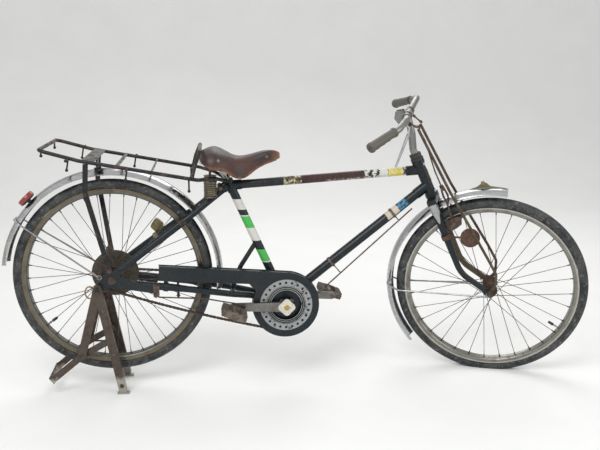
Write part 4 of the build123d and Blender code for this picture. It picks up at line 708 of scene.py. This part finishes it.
def lacing(name, body, where, centre, count, flange):
    """Nipples with their washers at the rim, and the spokes' heads at the flanges."""
    shape = Shape(where)
    step = 720 / count
    for side in SIDES:
        for number in range(count // 2):
            angle = step * number + (step / 2 if side > 0 else 0)
            lean = SPOKE_LEAN if number % 2 else -SPOKE_LEAN
            hub_end = around(centre, SPOKE_CIRCLE, angle + lean, side * (flange + 1.5))
            rim_end = around(centre, SPOKE_FOOT, angle, side * 3)
            shape.tube([along(rim_end, hub_end, 12), along(rim_end, hub_end, 9), rim_end], [1.5, 2.1, 2.1], 8)
            shape.lathe(along(rim_end, hub_end, 2.2), rim_end - hub_end,
                        [(0, -0.4), (3.4, -0.2), (3.4, 0.8), (0, 0.8)], 10)
            shape.lathe(hub_end + Vector((0, side * 2.2, 0)), (0, side, 0),
                        [(2.3, -0.8), (2.2, 0.4), (1.2, 1.0), (0, 1.1)], 8)
    shape.finish(name, body, [IRON], "rusty_steel")


lacing("front_lacing", "front_wheel", turned, FRONT, 32, 32)
lacing("rear_lacing", "rear_wheel", place, REAR, 40, 28)


def valve(name, body, where, centre, shown):
    """Valve stem with its nuts and a black cap, at the angle of the point that is shown."""
    shape = Shape(where)
    angle = degrees(atan2(shown[1] - centre[1], shown[0] - centre[0]))
    foot, hub = around(centre, 282, angle), around(centre, 0, angle)
    for reaches, radius, sides, look in (
        ((0, 28), 2.6, 12, 0),
        ((1, 4), 5.5, 6, 0),
        ((22, 24, 40, 42), [4.2, 5.0, 4.6, 3.4], 14, 1),
        ((12, 15), 4.2, 10, 0),
    ):
        shape.tube([along(foot, hub, reach) for reach in reaches], radius, sides, look)
    shape.finish(name, body, [SURFACES["dull_steel"], BLACK], "dull_steel")


valve("front_valve", "front_wheel", turned, FRONT, (1536, 192))
valve("rear_valve", "rear_wheel", place, REAR, (-207, 242))

# Saddle leather: x, half width, crown and rim of each arch, from the back to the nose
SADDLE = [
    (294, 52, 798, 788), (300, 74, 806, 778), (312, 92, 813, 768), (328, 101, 819, 759),
    (345, 103, 821, 756), (365, 96, 815, 754), (385, 83, 805, 742), (402, 67, 796, 729),
    (420, 54, 790, 722), (440, 43, 790, 722), (460, 35, 794, 732), (482, 29, 800, 748),
    (510, 25, 807, 762), (535, 22, 809, 770), (552, 18, 804, 779), (560, 13, 798, 785),
]
LEATHER = 4.5
ARCH_POINTS = 33
CUT_EDGES = (0, ARCH_POINTS - 2, ARCH_POINTS - 1, 2 * ARCH_POINTS - 1)


def smooth_table(rows, parts):
    """Rows of numbers with more rows between them, on a smooth curve."""
    result = []
    for number in range(len(rows) - 1):
        near = [rows[min(max(number + step, 0), len(rows) - 1)] for step in (-1, 0, 1, 2)]
        for part in range(parts):
            t = part / parts
            result.append([
                0.5 * (
                    2 * b + (c - a) * t + (2 * a - 5 * b + 4 * c - d) * t * t
                    + (3 * b - a - 3 * c + d) * t ** 3
                )
                for a, b, c, d in zip(*near)
            ])
    result.append(rows[-1])
    return result


def saddle_arch(x, half, crown, rim_height, shrink):
    """Points across the saddle at x. Shrink takes them from the outer face to the inner one."""
    row = []
    for step in range(ARCH_POINTS):
        share = 2 * step / (ARCH_POINTS - 1) - 1
        y = (half - shrink) * sin(share * pi / 2)
        drop = (crown - rim_height) * abs(share) ** 2.6
        wave = noise.noise(Vector((x * 0.02, share * 2.2, 0))) * 2.2 * (1 - shrink / 20)
        edge = shrink * 0.9 if abs(share) > 0.95 else 0
        row.append((x, -y, crown - shrink - drop + wave + edge))
    return row


saddle = Shape()
rows = []
for station in smooth_table(SADDLE, 4):
    rows.append(saddle_arch(*station, 0) + saddle_arch(*station, LEATHER)[::-1])
saddle.skin(rows, around=True, look=lambda r, c: int(c in CUT_EDGES))
for ring in (rows[0], rows[-1]):
    for step in range(ARCH_POINTS - 1):
        saddle.lid([ring[step], ring[step + 1], ring[-2 - step], ring[-1 - step]])
saddle.finish("saddle_cover", "frame", [SURFACES["leather"], hide("saddle_edge", (0.17, 0.065, 0.028), 0.5)],
              "leather", ["saddle_leather"], 60)

rivets = Shape()
for y in (-62, -34, 0, 34, 62):
    rivets.rivet((301 - 2.8 * (1 - (y / 62) ** 2), y, 807 - abs(y) * 0.25), (-0.45, y / 160, 0.85), 5.5)
for side in SIDES:
    rivets.rivet((516, side * 23.5, 788), (0, side, 0.35), 5)
    rivets.rivet((544, side * 20, 778), (0.2, side, 0), 4.5)
    rivets.rivet((355, side * 93, 786), (0, side, 0.5), 5.5)
rivets.finish("saddle_rivets", "frame", [rusted("old_rivet", (0.3, 0.28, 0.22), 0.5)], "dull_steel")

# Blank round plaque at the back of the saddle
lathed("saddle_plaque", "frame", CREAM, "dull_steel", (300, -58, 783), (-0.8, -0.55, 0.15),
       [(13, -3), (13, 0.4), (11, 1.6), (0, 2.2)], 28)

# Coil springs under the back of the saddle, with plates at both ends and a dark core. The core is painted
# shade: a dark solid that fills each coil and stands in for the shade inside it
COIL_TURNS = 7
COIL_STEPS = 20
COIL_LOW = 668.5
COIL_RISE = 44
COIL_RADIUS = 19
springs = Shape()
for side in SIDES:
    centre = Vector((328, side * 64, 0))
    coil = []
    for step in range(COIL_TURNS * COIL_STEPS + 1):
        turn = 2 * pi * step / COIL_STEPS
        height = COIL_LOW + step * COIL_RISE / (COIL_TURNS * COIL_STEPS)
        coil.append(centre + Vector((COIL_RADIUS * cos(turn), COIL_RADIUS * sin(turn), height)))
    springs.tube(coil, 2.7, 8)
    for low in (664, 714.2):
        springs.lathe(centre + Vector((0, 0, low)), (0, 0, 1),
                      [(0, 0), (22, 0), (22.8, 1.2), (22, 2.6), (0, 2.6)], 32)
    # Painted shade: a dark solid as wide as the inside of the coil
    springs.tube([centre + Vector((0, 0, z)) for z in (665, 716)], 17.2, 28, look=1)
springs.finish("saddle_coils", "frame",
               [rusted("spring_steel", (0.2, 0.18, 0.13), 0.6),
                rusted("spring_shade_core", (0.1, 0.09, 0.06), 0.6)],
               "dull_steel", ["saddle_springs"])

# Chain of outer and inner links, on the same loop as its solid
CHAIN_Y = -45.0
LINKS = 126
PITCH = 12.7
WHEEL_TEETH = 48
SPROCKET_TEETH = 19
WHEEL_PITCH = PITCH / 2 / sin(pi / WHEEL_TEETH)
SPROCKET_PITCH = PITCH / 2 / sin(pi / SPROCKET_TEETH)
CENTRES = dist(REAR, CRANK)
TILT = degrees(atan2(CRANK[1] - REAR[1], CRANK[0]))
SPLAY = degrees(asin((WHEEL_PITCH - SPROCKET_PITCH) / CENTRES))
RUN_LENGTH = CENTRES * cos(radians(SPLAY))
WHEEL_ARC = radians(180 + 2 * SPLAY) * WHEEL_PITCH
SPROCKET_ARC = radians(180 - 2 * SPLAY) * SPROCKET_PITCH
TOP_ANGLE = TILT + 90 + SPLAY
LOW_ANGLE = TILT - 90 - SPLAY
TOP_RUN = (around(REAR, SPROCKET_PITCH, TOP_ANGLE), around(CRANK, WHEEL_PITCH, TOP_ANGLE))
LOW_RUN = (around(CRANK, WHEEL_PITCH, LOW_ANGLE), around(REAR, SPROCKET_PITCH, LOW_ANGLE))
SAG = 9.0


def chain_pin(number):
    """Middle of one of the chain's pins."""
    distance = (2 * RUN_LENGTH + WHEEL_ARC + SPROCKET_ARC) * (number % LINKS) / LINKS
    if distance < RUN_LENGTH:
        return TOP_RUN[0].lerp(TOP_RUN[1], distance / RUN_LENGTH)
    distance -= RUN_LENGTH
    if distance < WHEEL_ARC:
        return around(CRANK, WHEEL_PITCH, TOP_ANGLE - degrees(distance / WHEEL_PITCH))
    distance -= WHEEL_ARC
    if distance < RUN_LENGTH:
        share = distance / RUN_LENGTH
        return LOW_RUN[0].lerp(LOW_RUN[1], share) - Vector((0, 0, SAG * 4 * share * (1 - share)))
    distance -= RUN_LENGTH
    return around(REAR, SPROCKET_PITCH, LOW_ANGLE - degrees(distance / SPROCKET_PITCH))


def link_outline(start, end):
    """Outline of a link's plate: a round at each pin and a waist between them."""
    run = (end - start).normalized()
    up = Vector((-run.z, 0, run.x))
    outline = []
    for centre, heading, waist in ((end, 0, 2.9), (start, 180, -2.9)):
        for turn in (-70, -35, 0, 35, 70):
            outline.append(centre + swung(run, up, radians(heading + turn)) * 4.2)
        outline.append(start.lerp(end, 0.5) + up * waist)
    return [(p.x, p.z) for p in outline]


chain = Shape()
for number in range(LINKS):
    start, end = chain_pin(number), chain_pin(number + 1)
    outline = link_outline(start, end)
    for side in SIDES:
        near_face = CHAIN_Y + side * (3.1 if number % 2 else 2.0)
        chain.slab(outline, near_face, near_face + side * 1.1)
    for half, radius, sides in ((4.5, 1.8, 8), (2.2, 3.8, 10)):
        chain.tube([start + Vector((0, CHAIN_Y + side * half, 0)) for side in SIDES], radius, sides)
chain.finish("chain_links", "frame", [SURFACES["chain_steel"]], "chain_steel", ["chain"])

# Pedals: ribbed rubber blocks between steel plates
PEDAL_TILT = radians(20)
PEDAL_RUBBER = aged_rubber("pedal_rubber", (0.05, 0.035, 0.028), (0.16, 0.13, 0.1), 0.8)
PEDAL_STEEL = rusted("pedal_steel", (0.2, 0.17, 0.14), 0.52, (0.1, 0.055, 0.035))
BLOCK_REACH = 31
BLOCK_START = 100
BLOCK_LENGTH = 78
BLOCK_STEPS = 42


def squared(wave):
    """Sine or cosine that makes a circle nearly square."""
    return copysign(abs(wave) ** 0.35, wave)


def pedal(name, node, body, side, centre):
    """Pedal on its spindle, at the end of a crank."""
    shape = Shape()
    ahead = Vector((cos(PEDAL_TILT), 0, -sin(PEDAL_TILT)))
    up = Vector((sin(PEDAL_TILT), 0, cos(PEDAL_TILT)))

    def middle(y):
        """Point on the pedal's axle, y out from the bicycle's middle."""
        return Vector((centre[0], side * y, centre[1]))

    for reach in (-BLOCK_REACH, BLOCK_REACH):
        rows = []
        for step in range(BLOCK_STEPS + 1):
            y = BLOCK_START + BLOCK_LENGTH * step / BLOCK_STEPS
            groove = 1.0 if step % 3 else 0.9
            if step in (0, BLOCK_STEPS):
                groove = 0.86
            row = []
            for turn in turns(32):
                wide = squared(cos(turn)) * 11
                tall = squared(sin(turn)) * 12.5
                line = abs(abs(wide) - 5.5) < 1.2 or abs(abs(tall) - 6) < 1.4
                grow = groove * (0.9 if line else 1.0)
                row.append(middle(y) + ahead * (reach + wide * grow) + up * tall * grow)
            rows.append(row)
        shape.capped(rows)
        for y, out in ((96.5, -side), (181.5, side)):
            shape.bolt(middle(y) + ahead * reach, (0, out, 0), 4.2, 4, look=1)
    for y in (97, 178.5):
        outline = []
        for end, waist in ((1, 13), (-1, -13)):
            for angle in range(-80, 81, 20):
                turn = radians(angle)
                shift = end * (BLOCK_REACH + 10.5 * cos(turn))
                outline.append(middle(y) + ahead * shift + up * end * 10.5 * sin(turn))
            outline.append(middle(y) + up * waist)
        shape.slab([(p.x, p.z) for p in outline], side * y, side * (y + 2.6), look=1)
    spindle = {73.5: 6, 90: 6, 96: 7.5, 98: 9.5, 140: 8, 178: 9.5, 182: 7, 186: 6}
    shape.tube([middle(y) for y in spindle], list(spindle.values()), 16, look=1)
    shape.finish(name, body, [PEDAL_RUBBER, PEDAL_STEEL], "rubber", [node])


pedal("right_pedal_blocks", "pedal_right", "right_pedal", -1, (397, 291))
pedal("left_pedal_blocks", "pedal_left", "left_pedal", 1, (752, 272))

# Grips: fine ribs, and hollows for the fingers below
GRIP_START = 20
GRIP_LENGTH = 110.7
GRIP_STEPS = 124
GRIP_CORNERS = 36
FINGERS = 4.5


def grip_row(share, step):
    """Radii round the grip at a share of its length. Every fourth row lies in a groove."""
    base = 14.0 + 2.0 * share
    if share < 0.05:
        base = 15.6
    if share > 0.93:
        base = 17.2 - (share - 0.93) * 30
    ribbed = 0.06 < share < 0.92
    if step % 4 == 0 and ribbed:
        base -= 0.3
    hollow = 1.6 * (0.5 + 0.5 * cos(share * 2 * pi * FINGERS)) if 0.08 < share < 0.92 else 0
    radii = []
    for corner, turn in enumerate(turns(GRIP_CORNERS)):
        line = 0.9 if corner % 3 == 0 and ribbed else 0
        radii.append(base - line - hollow * max(0.0, -sin(turn)))
    return radii


grips = Shape(turned)
for side in SIDES:
    bend = Vector((990, side * 228, 928))
    tip = Vector((915, side * 325, 889))
    axle = (tip - bend).normalized()
    up = (Vector((0, 0, 1)) - axle * axle.z).normalized()
    ahead = axle.cross(up)
    rows = []
    for step in range(GRIP_STEPS + 1):
        share = step / GRIP_STEPS
        middle = bend + axle * (GRIP_START + GRIP_LENGTH * share)
        rows.append([
            middle + swung(ahead, up, turn) * reach
            for turn, reach in zip(turns(GRIP_CORNERS), grip_row(share, step))
        ])
    grips.capped(rows)
    grips.lathe(tip + axle * 2.2, axle, [(3.2, 0), (3.2, 0.9), (2.2, 0.9), (2.2, -2), (0, -2)], 14, look=1)
grips.finish("bar_grips", "steering", [SURFACES["grip"], BLACK], "grip", ["grips"], 30)

# Chrome sleeves on the tops of the fork's blades, each with pointed tongues. Their section
# along the blade: share of the length, and growth over the blade's own face
SLEEVE = ((0, 0), (0, 0.9), (0.06, 1.3), (0.12, 0.9), (0.7, 0.8), (0.95, 0.8), (1, 0.3), (1, -0.6))
SLEEVE_START = 12
SLEEVE_END = 49
sleeves = Shape(turned)
for side in SIDES:
    top = head_point(-12, side * 48)
    knee = around(FRONT, 120.7, 148.5, side * 51)
    down = (knee - top).normalized()
    fore = (Vector((1, 0, 0)) - down * down.x).normalized()
    rows = []
    for turn in turns(40):
        wide, thick = cos(turn), sin(turn)
        length = SLEEVE_END + max(0.0, thick) ** 6 * 34 + max(0.0, -thick) ** 6 * 20
        row = []
        for share, grow in SLEEVE:
            distance = SLEEVE_START + (length - SLEEVE_START) * share
            slim = 1.0 - distance * 0.0005
            shift = fore * (15 * slim + grow) * wide + Vector((0, side * (11.5 * slim + grow) * thick, 0))
            row.append(top + down * distance + shift)
        rows.append(row)
    sleeves.skin(rows, closed=True)
sleeves.finish("crown_sleeves", "steering",
               [plated("sleeve_chrome", (0.42, 0.425, 0.43), 0.6, gloss=0.16)], "chrome")

# Blank oval badge on the front of the head tube, and two small enamel spots
badge = Shape()
rows = []
for up in range(0, 45, 4):
    wide = 40 * sqrt(max(0.02, 1 - ((up - 22) / 22.5) ** 2))
    row = []
    for step in range(13):
        turn = radians(wide * (step / 6 - 1))
        reach = 19.2 if 0 < step < 12 else 18.2
        row.append(head_point(44 + up, reach * sin(turn), reach * cos(turn)))
    rows.append(row)
badge.skin(rows)
badge.finish("head_badge", "frame", [plated("badge_brass", (0.5, 0.24, 0.05), 0.58)], "dull_steel")

spots = Shape()
for up, turn, reach in ((110, -45, 20.6), (8, -40, 21.0)):
    lean = radians(turn)
    normal = (head_point(up, sin(lean), cos(lean)) - head_point(up)).normalized()
    spots.lathe(head_point(up) + normal * (reach - 2), normal, [(5, -2), (5, 1.6), (3.6, 2.2), (0, 2.4)], 20)
spots.finish("head_spots", "frame", [plastic("blue_white", (0.42, 0.55, 0.66), 0.35)], "chrome")

# Tail reflector: black hood, and red rim and lens
out = around((0, 0), 1, 135)
base = around(REAR, 365, 135)
lens = Shape()
lens.lathe(base, out, [(7, 0.3), (7, 8), (18, 4.5), (25, 6), (27.5, 9)], 40, look=1)
lens.lathe(base, out, [(27.5, 9), (28.4, 10), (28.4, 21), (26.5, 23.6), (21, 24.6), (14, 25), (0, 25.2)], 40)
lens.finish("tail_lens", "frame", [SURFACES["reflector"], BLACK], "reflector", ["tail_reflector"])


def crank_point(y):
    """Point on the crank's axle."""
    return Vector((CRANK[0], y, CRANK[1]))


# Cream cap with four lobes on the crank, and the gold ends of its axle
cap = Shape()
outline = []
for turn in turns(72):
    reach = 25.8 + 2.7 * cos(4 * turn)
    outline.append((CRANK[0] + reach * cos(turn), CRANK[1] + reach * sin(turn)))
cap.slab(outline, -91.5, -86)
cap.lathe(crank_point(-91), (0, -1, 0), [(20, 0), (19, 1.6), (14, 2.4), (0, 2.4)], 32)
cap.finish("crank_cap", "crank", [CREAM], "dull_steel")
ends = Shape()
for y, side, low in ((-93.5, -1, -3), (88, 1, -1.4)):
    ends.lathe(crank_point(y), (0, side, 0), [(9, low), (9.4, 0), (8, 1.4), (4, 1.8), (4, 0.6), (0, 0.6)], 24)
ends.finish("crank_ends", "crank", [plated("gold_brass", (0.5, 0.36, 0.12), 0.6)], "dull_steel")

# Black disc behind the cap, and a black lining behind the holes of the chain case. The lining is painted
# shade: a dark ring that stands in for the shaded inside of the case seen through the holes
lathed("crank_disc", "crank", ENAMELLED, "case_paint", crank_point(-52), (0, -1, 0),
       [(13, -1), (61, -1), (62, 0), (60, 1), (30, 1.6), (13, 1)], 64, closed=True)
# Painted shade: a dark ring that closes the holes of the chain case from behind
lathed("case_shade_lining", "frame", ENAMELLED, "case_paint", crank_point(-60.9), (0, 1, 0),
       [(67, 0), (92, 0), (92, 0.5), (67, 0.5)], 72, closed=True)

# Pegs with round ends that hang from the side rails of the carrier
RAIL_BACK = Vector((-70, 155, 800))
RAIL_FRONT = Vector((290, 155, 734))
ROUND_END = [(5 * sin(a * pi / 8), -5 * cos(a * pi / 8)) for a in range(9)]
pegs = Shape()
for side in SIDES:
    for x in (-102, 74):
        share = (x - RAIL_BACK.x) / (RAIL_FRONT.x - RAIL_BACK.x)
        top = RAIL_BACK + (RAIL_FRONT - RAIL_BACK) * share
        top.y *= side
        foot = top - Vector((6, 0, 34))
        pegs.tube([top, foot], 2.7, 10)
        pegs.lathe(foot, (0, 0, 1), ROUND_END, 16)
pegs.finish("carrier_pegs", "frame", [SURFACES["carrier_paint"]], "carrier_paint")

# Knob on the crest of the front guard
lathed("crest_knob", "steering", plastic("olive_paint", (0.17, 0.15, 0.06)), "chrome",
       (1255, 0, 697), (0, 0, 1), [(7, -4), (7, 4), (5.5, 7), (3, 9), (0, 9.4)], 20, turned)

# Clip of the chain case on the right chain stay, with its screw below and a lug above
STAY_KINK = Vector((194, -54, 359))
STAY_BEND = Vector((392, -44, 327))
clip = Shape()
for start, end, grow, look in ((14, 26, 3, 0), (26, 30, 2, 1)):
    low, high = along(STAY_KINK, STAY_BEND, start), along(STAY_KINK, STAY_BEND, end)
    clip.tube([low, low, high, high], [12, 12.6 + grow, 12.6 + grow, 12], 28, look)
middle = along(STAY_KINK, STAY_BEND, 20)
clip.bolt(middle + Vector((0, 0, -25)), (0, 0, -1), 5, 4)
for start, end, radius in ((-14, -26, 4.5), (13, 21, 4)):
    clip.tube([middle + Vector((0, 0, start)), middle + Vector((0, 0, end))], radius)
clip.finish("stay_clip", "frame", [ENAMELLED, CREAM], "frame_paint")

# Rivets and bolts of the stand, and the loop of its spring
stand = Shape()
for side in SIDES:
    top = Vector((-47, side * 83, 368))
    foot = Vector((20, side * 83, 14.5))
    for distance in (80, 168, 234, 272):
        stand.rivet(along(top, foot, distance), (0, side, 0), 5)
    stand.bolt(along(top, foot, 346), (0, side, 0), 5, 3.2)
    stand.bolt((-108, side * 83, 140), (0, side, 0), 5.5, 4)
    stand.bolt((-17, side * 71, 182), (0, side, 0), 4.5, 4)
stand.finish("stand_rivets", "stand", [NUT_STEEL], "rusty_steel")
loop = Shape()
steps = [(step, step * pi / 12) for step in range(61)]
loop.tube([(-72 + 15 * cos(turn), -72 - step * 0.12, 356 + 20 * sin(turn)) for step, turn in steps], 2.2, 8)
loop.finish("stand_spring", "frame", [rusted("spring_gold", (0.3, 0.22, 0.09), 0.6)], "rusty_steel")


def hardware(name, body, where, pairs, single=()):
    """Bolts, in pairs and single: x, y, z, the direction out of the face, radius and height."""
    shape = Shape(where)
    for x, y, z, out, radius, height in pairs:
        for side in SIDES:
            shape.bolt((x, side * y, z), (out[0], side * out[1], out[2]), radius, height)
    for x, y, z, out, radius, height in single:
        shape.bolt((x, y, z), out, radius, height)
    shape.finish(name, body, [IRON], "rusty_steel")


hardware("frame_bolts", "frame", place,
         [(-6, 72.9, 424, (0, 1, 0), 5, 4.5), (-40, 71.1, 404, (0, 1, 0), 4.2, 4),
          (359.4, 39.2, 686, (0, 1, 0), 6, 4)],
         [(143, -71.8, 352, (0, -1, 0), 4, 3.5), (586, -56, 399, (0, 0, 1), 4, 3)])
hardware("steering_bolts", "steering", turned,
         [(1168, 43, 560, (0, 1, 0), 6, 4.5), (1008, 62, 905, (0.5, 0.6, 0.2), 4, 4),
          (1034, 38, 892, (0.3, 1, 0.4), 4, 4)])

# Studio, in metres: one sheet that is floor and backdrop, with a bend between them
BEND = 2.6
outline = [(-6 + step * 0.45, 0.0) for step in range(20)]
outline += [(3 + BEND * sin(step * pi / 48), BEND - BEND * cos(step * pi / 48)) for step in range(25)]
outline += [(3 + BEND, BEND + step * 0.4) for step in range(15)]
sheet = Shape(as_given)
sheet.skin([[(x, *point) for x in (-14, -4, 4, 14)] for point in outline])
ground = Paint("sheet_paint")
grain = ground.spread(ground.noise(3, 5), 0.3, 0.7)
ground.finish(ground.mix(grain, (0.84, 0.84, 0.83), (0.87, 0.87, 0.86)), 0.95)
floor = sheet.build("studio_sheet", [ground.material])

# The world lights the bicycle evenly, and shows a pale grey to the camera, metal and glass
world = bpy.data.worlds.new("studio")
bpy.context.scene.world = world
world.use_nodes = True
world.node_tree.nodes.clear()
sky = Nodes(world.node_tree)
rays = sky.node("LightPath").outputs
seen = sky.most(sky.most(rays["Is Camera Ray"], rays["Is Glossy Ray"]), rays["Is Transmission Ray"])
light = sky.node("Background", Color=(1.0, 1.0, 1.0, 1.0), Strength=0.6)
pale = sky.node("Background", Color=(0.93, 0.93, 0.93, 1.0), Strength=0.9)
either = sky.node("MixShader", Fac=seen)
sky.feed(either.inputs[1], light.outputs[0])
sky.feed(either.inputs[2], pale.outputs[0])
sky.node("OutputWorld", Surface=either.outputs[0])


def lamp(name, where, size, power):
    """Soft square lamp that looks at the middle of the bicycle."""
    data = bpy.data.lights.new(name, "AREA")
    data.size = size
    data.energy = power
    piece = bpy.data.objects.new(name, data)
    bpy.context.collection.objects.link(piece)
    piece.location = where
    piece.rotation_euler = (Vector((0, 0, 0.5)) - Vector(where)).to_track_quat("-Z", "Y").to_euler()


lamp("key_lamp", (-1.6, -2.6, 3.4), 2.2, 95)
lamp("fill_lamp", (3.0, -2.0, 2.0), 2.0, 35)
lamp("back_lamp", (0.5, 2.4, 3.2), 2.5, 45)

# Camera, from the fit to the wheels and the frame
VIEW_FROM = place(331.7, -2651.7, 1122.6)
VIEW_RIGHT = Vector((0.99378, -0.11138, 0.00055))
VIEW_UP = Vector((0.02282, 0.20849, 0.97776))
data = bpy.data.cameras.new("photo_camera")
data.lens = 48.0
data.sensor_width = 36.0
camera = bpy.data.objects.new("photo_camera", data)
bpy.context.collection.objects.link(camera)
axes = Matrix((VIEW_RIGHT, VIEW_UP, VIEW_RIGHT.cross(VIEW_UP))).transposed()
camera.matrix_world = Matrix.Translation(VIEW_FROM) @ axes.to_4x4()
bpy.context.scene.camera = camera
bpy.context.scene.view_settings.view_transform = "Standard"
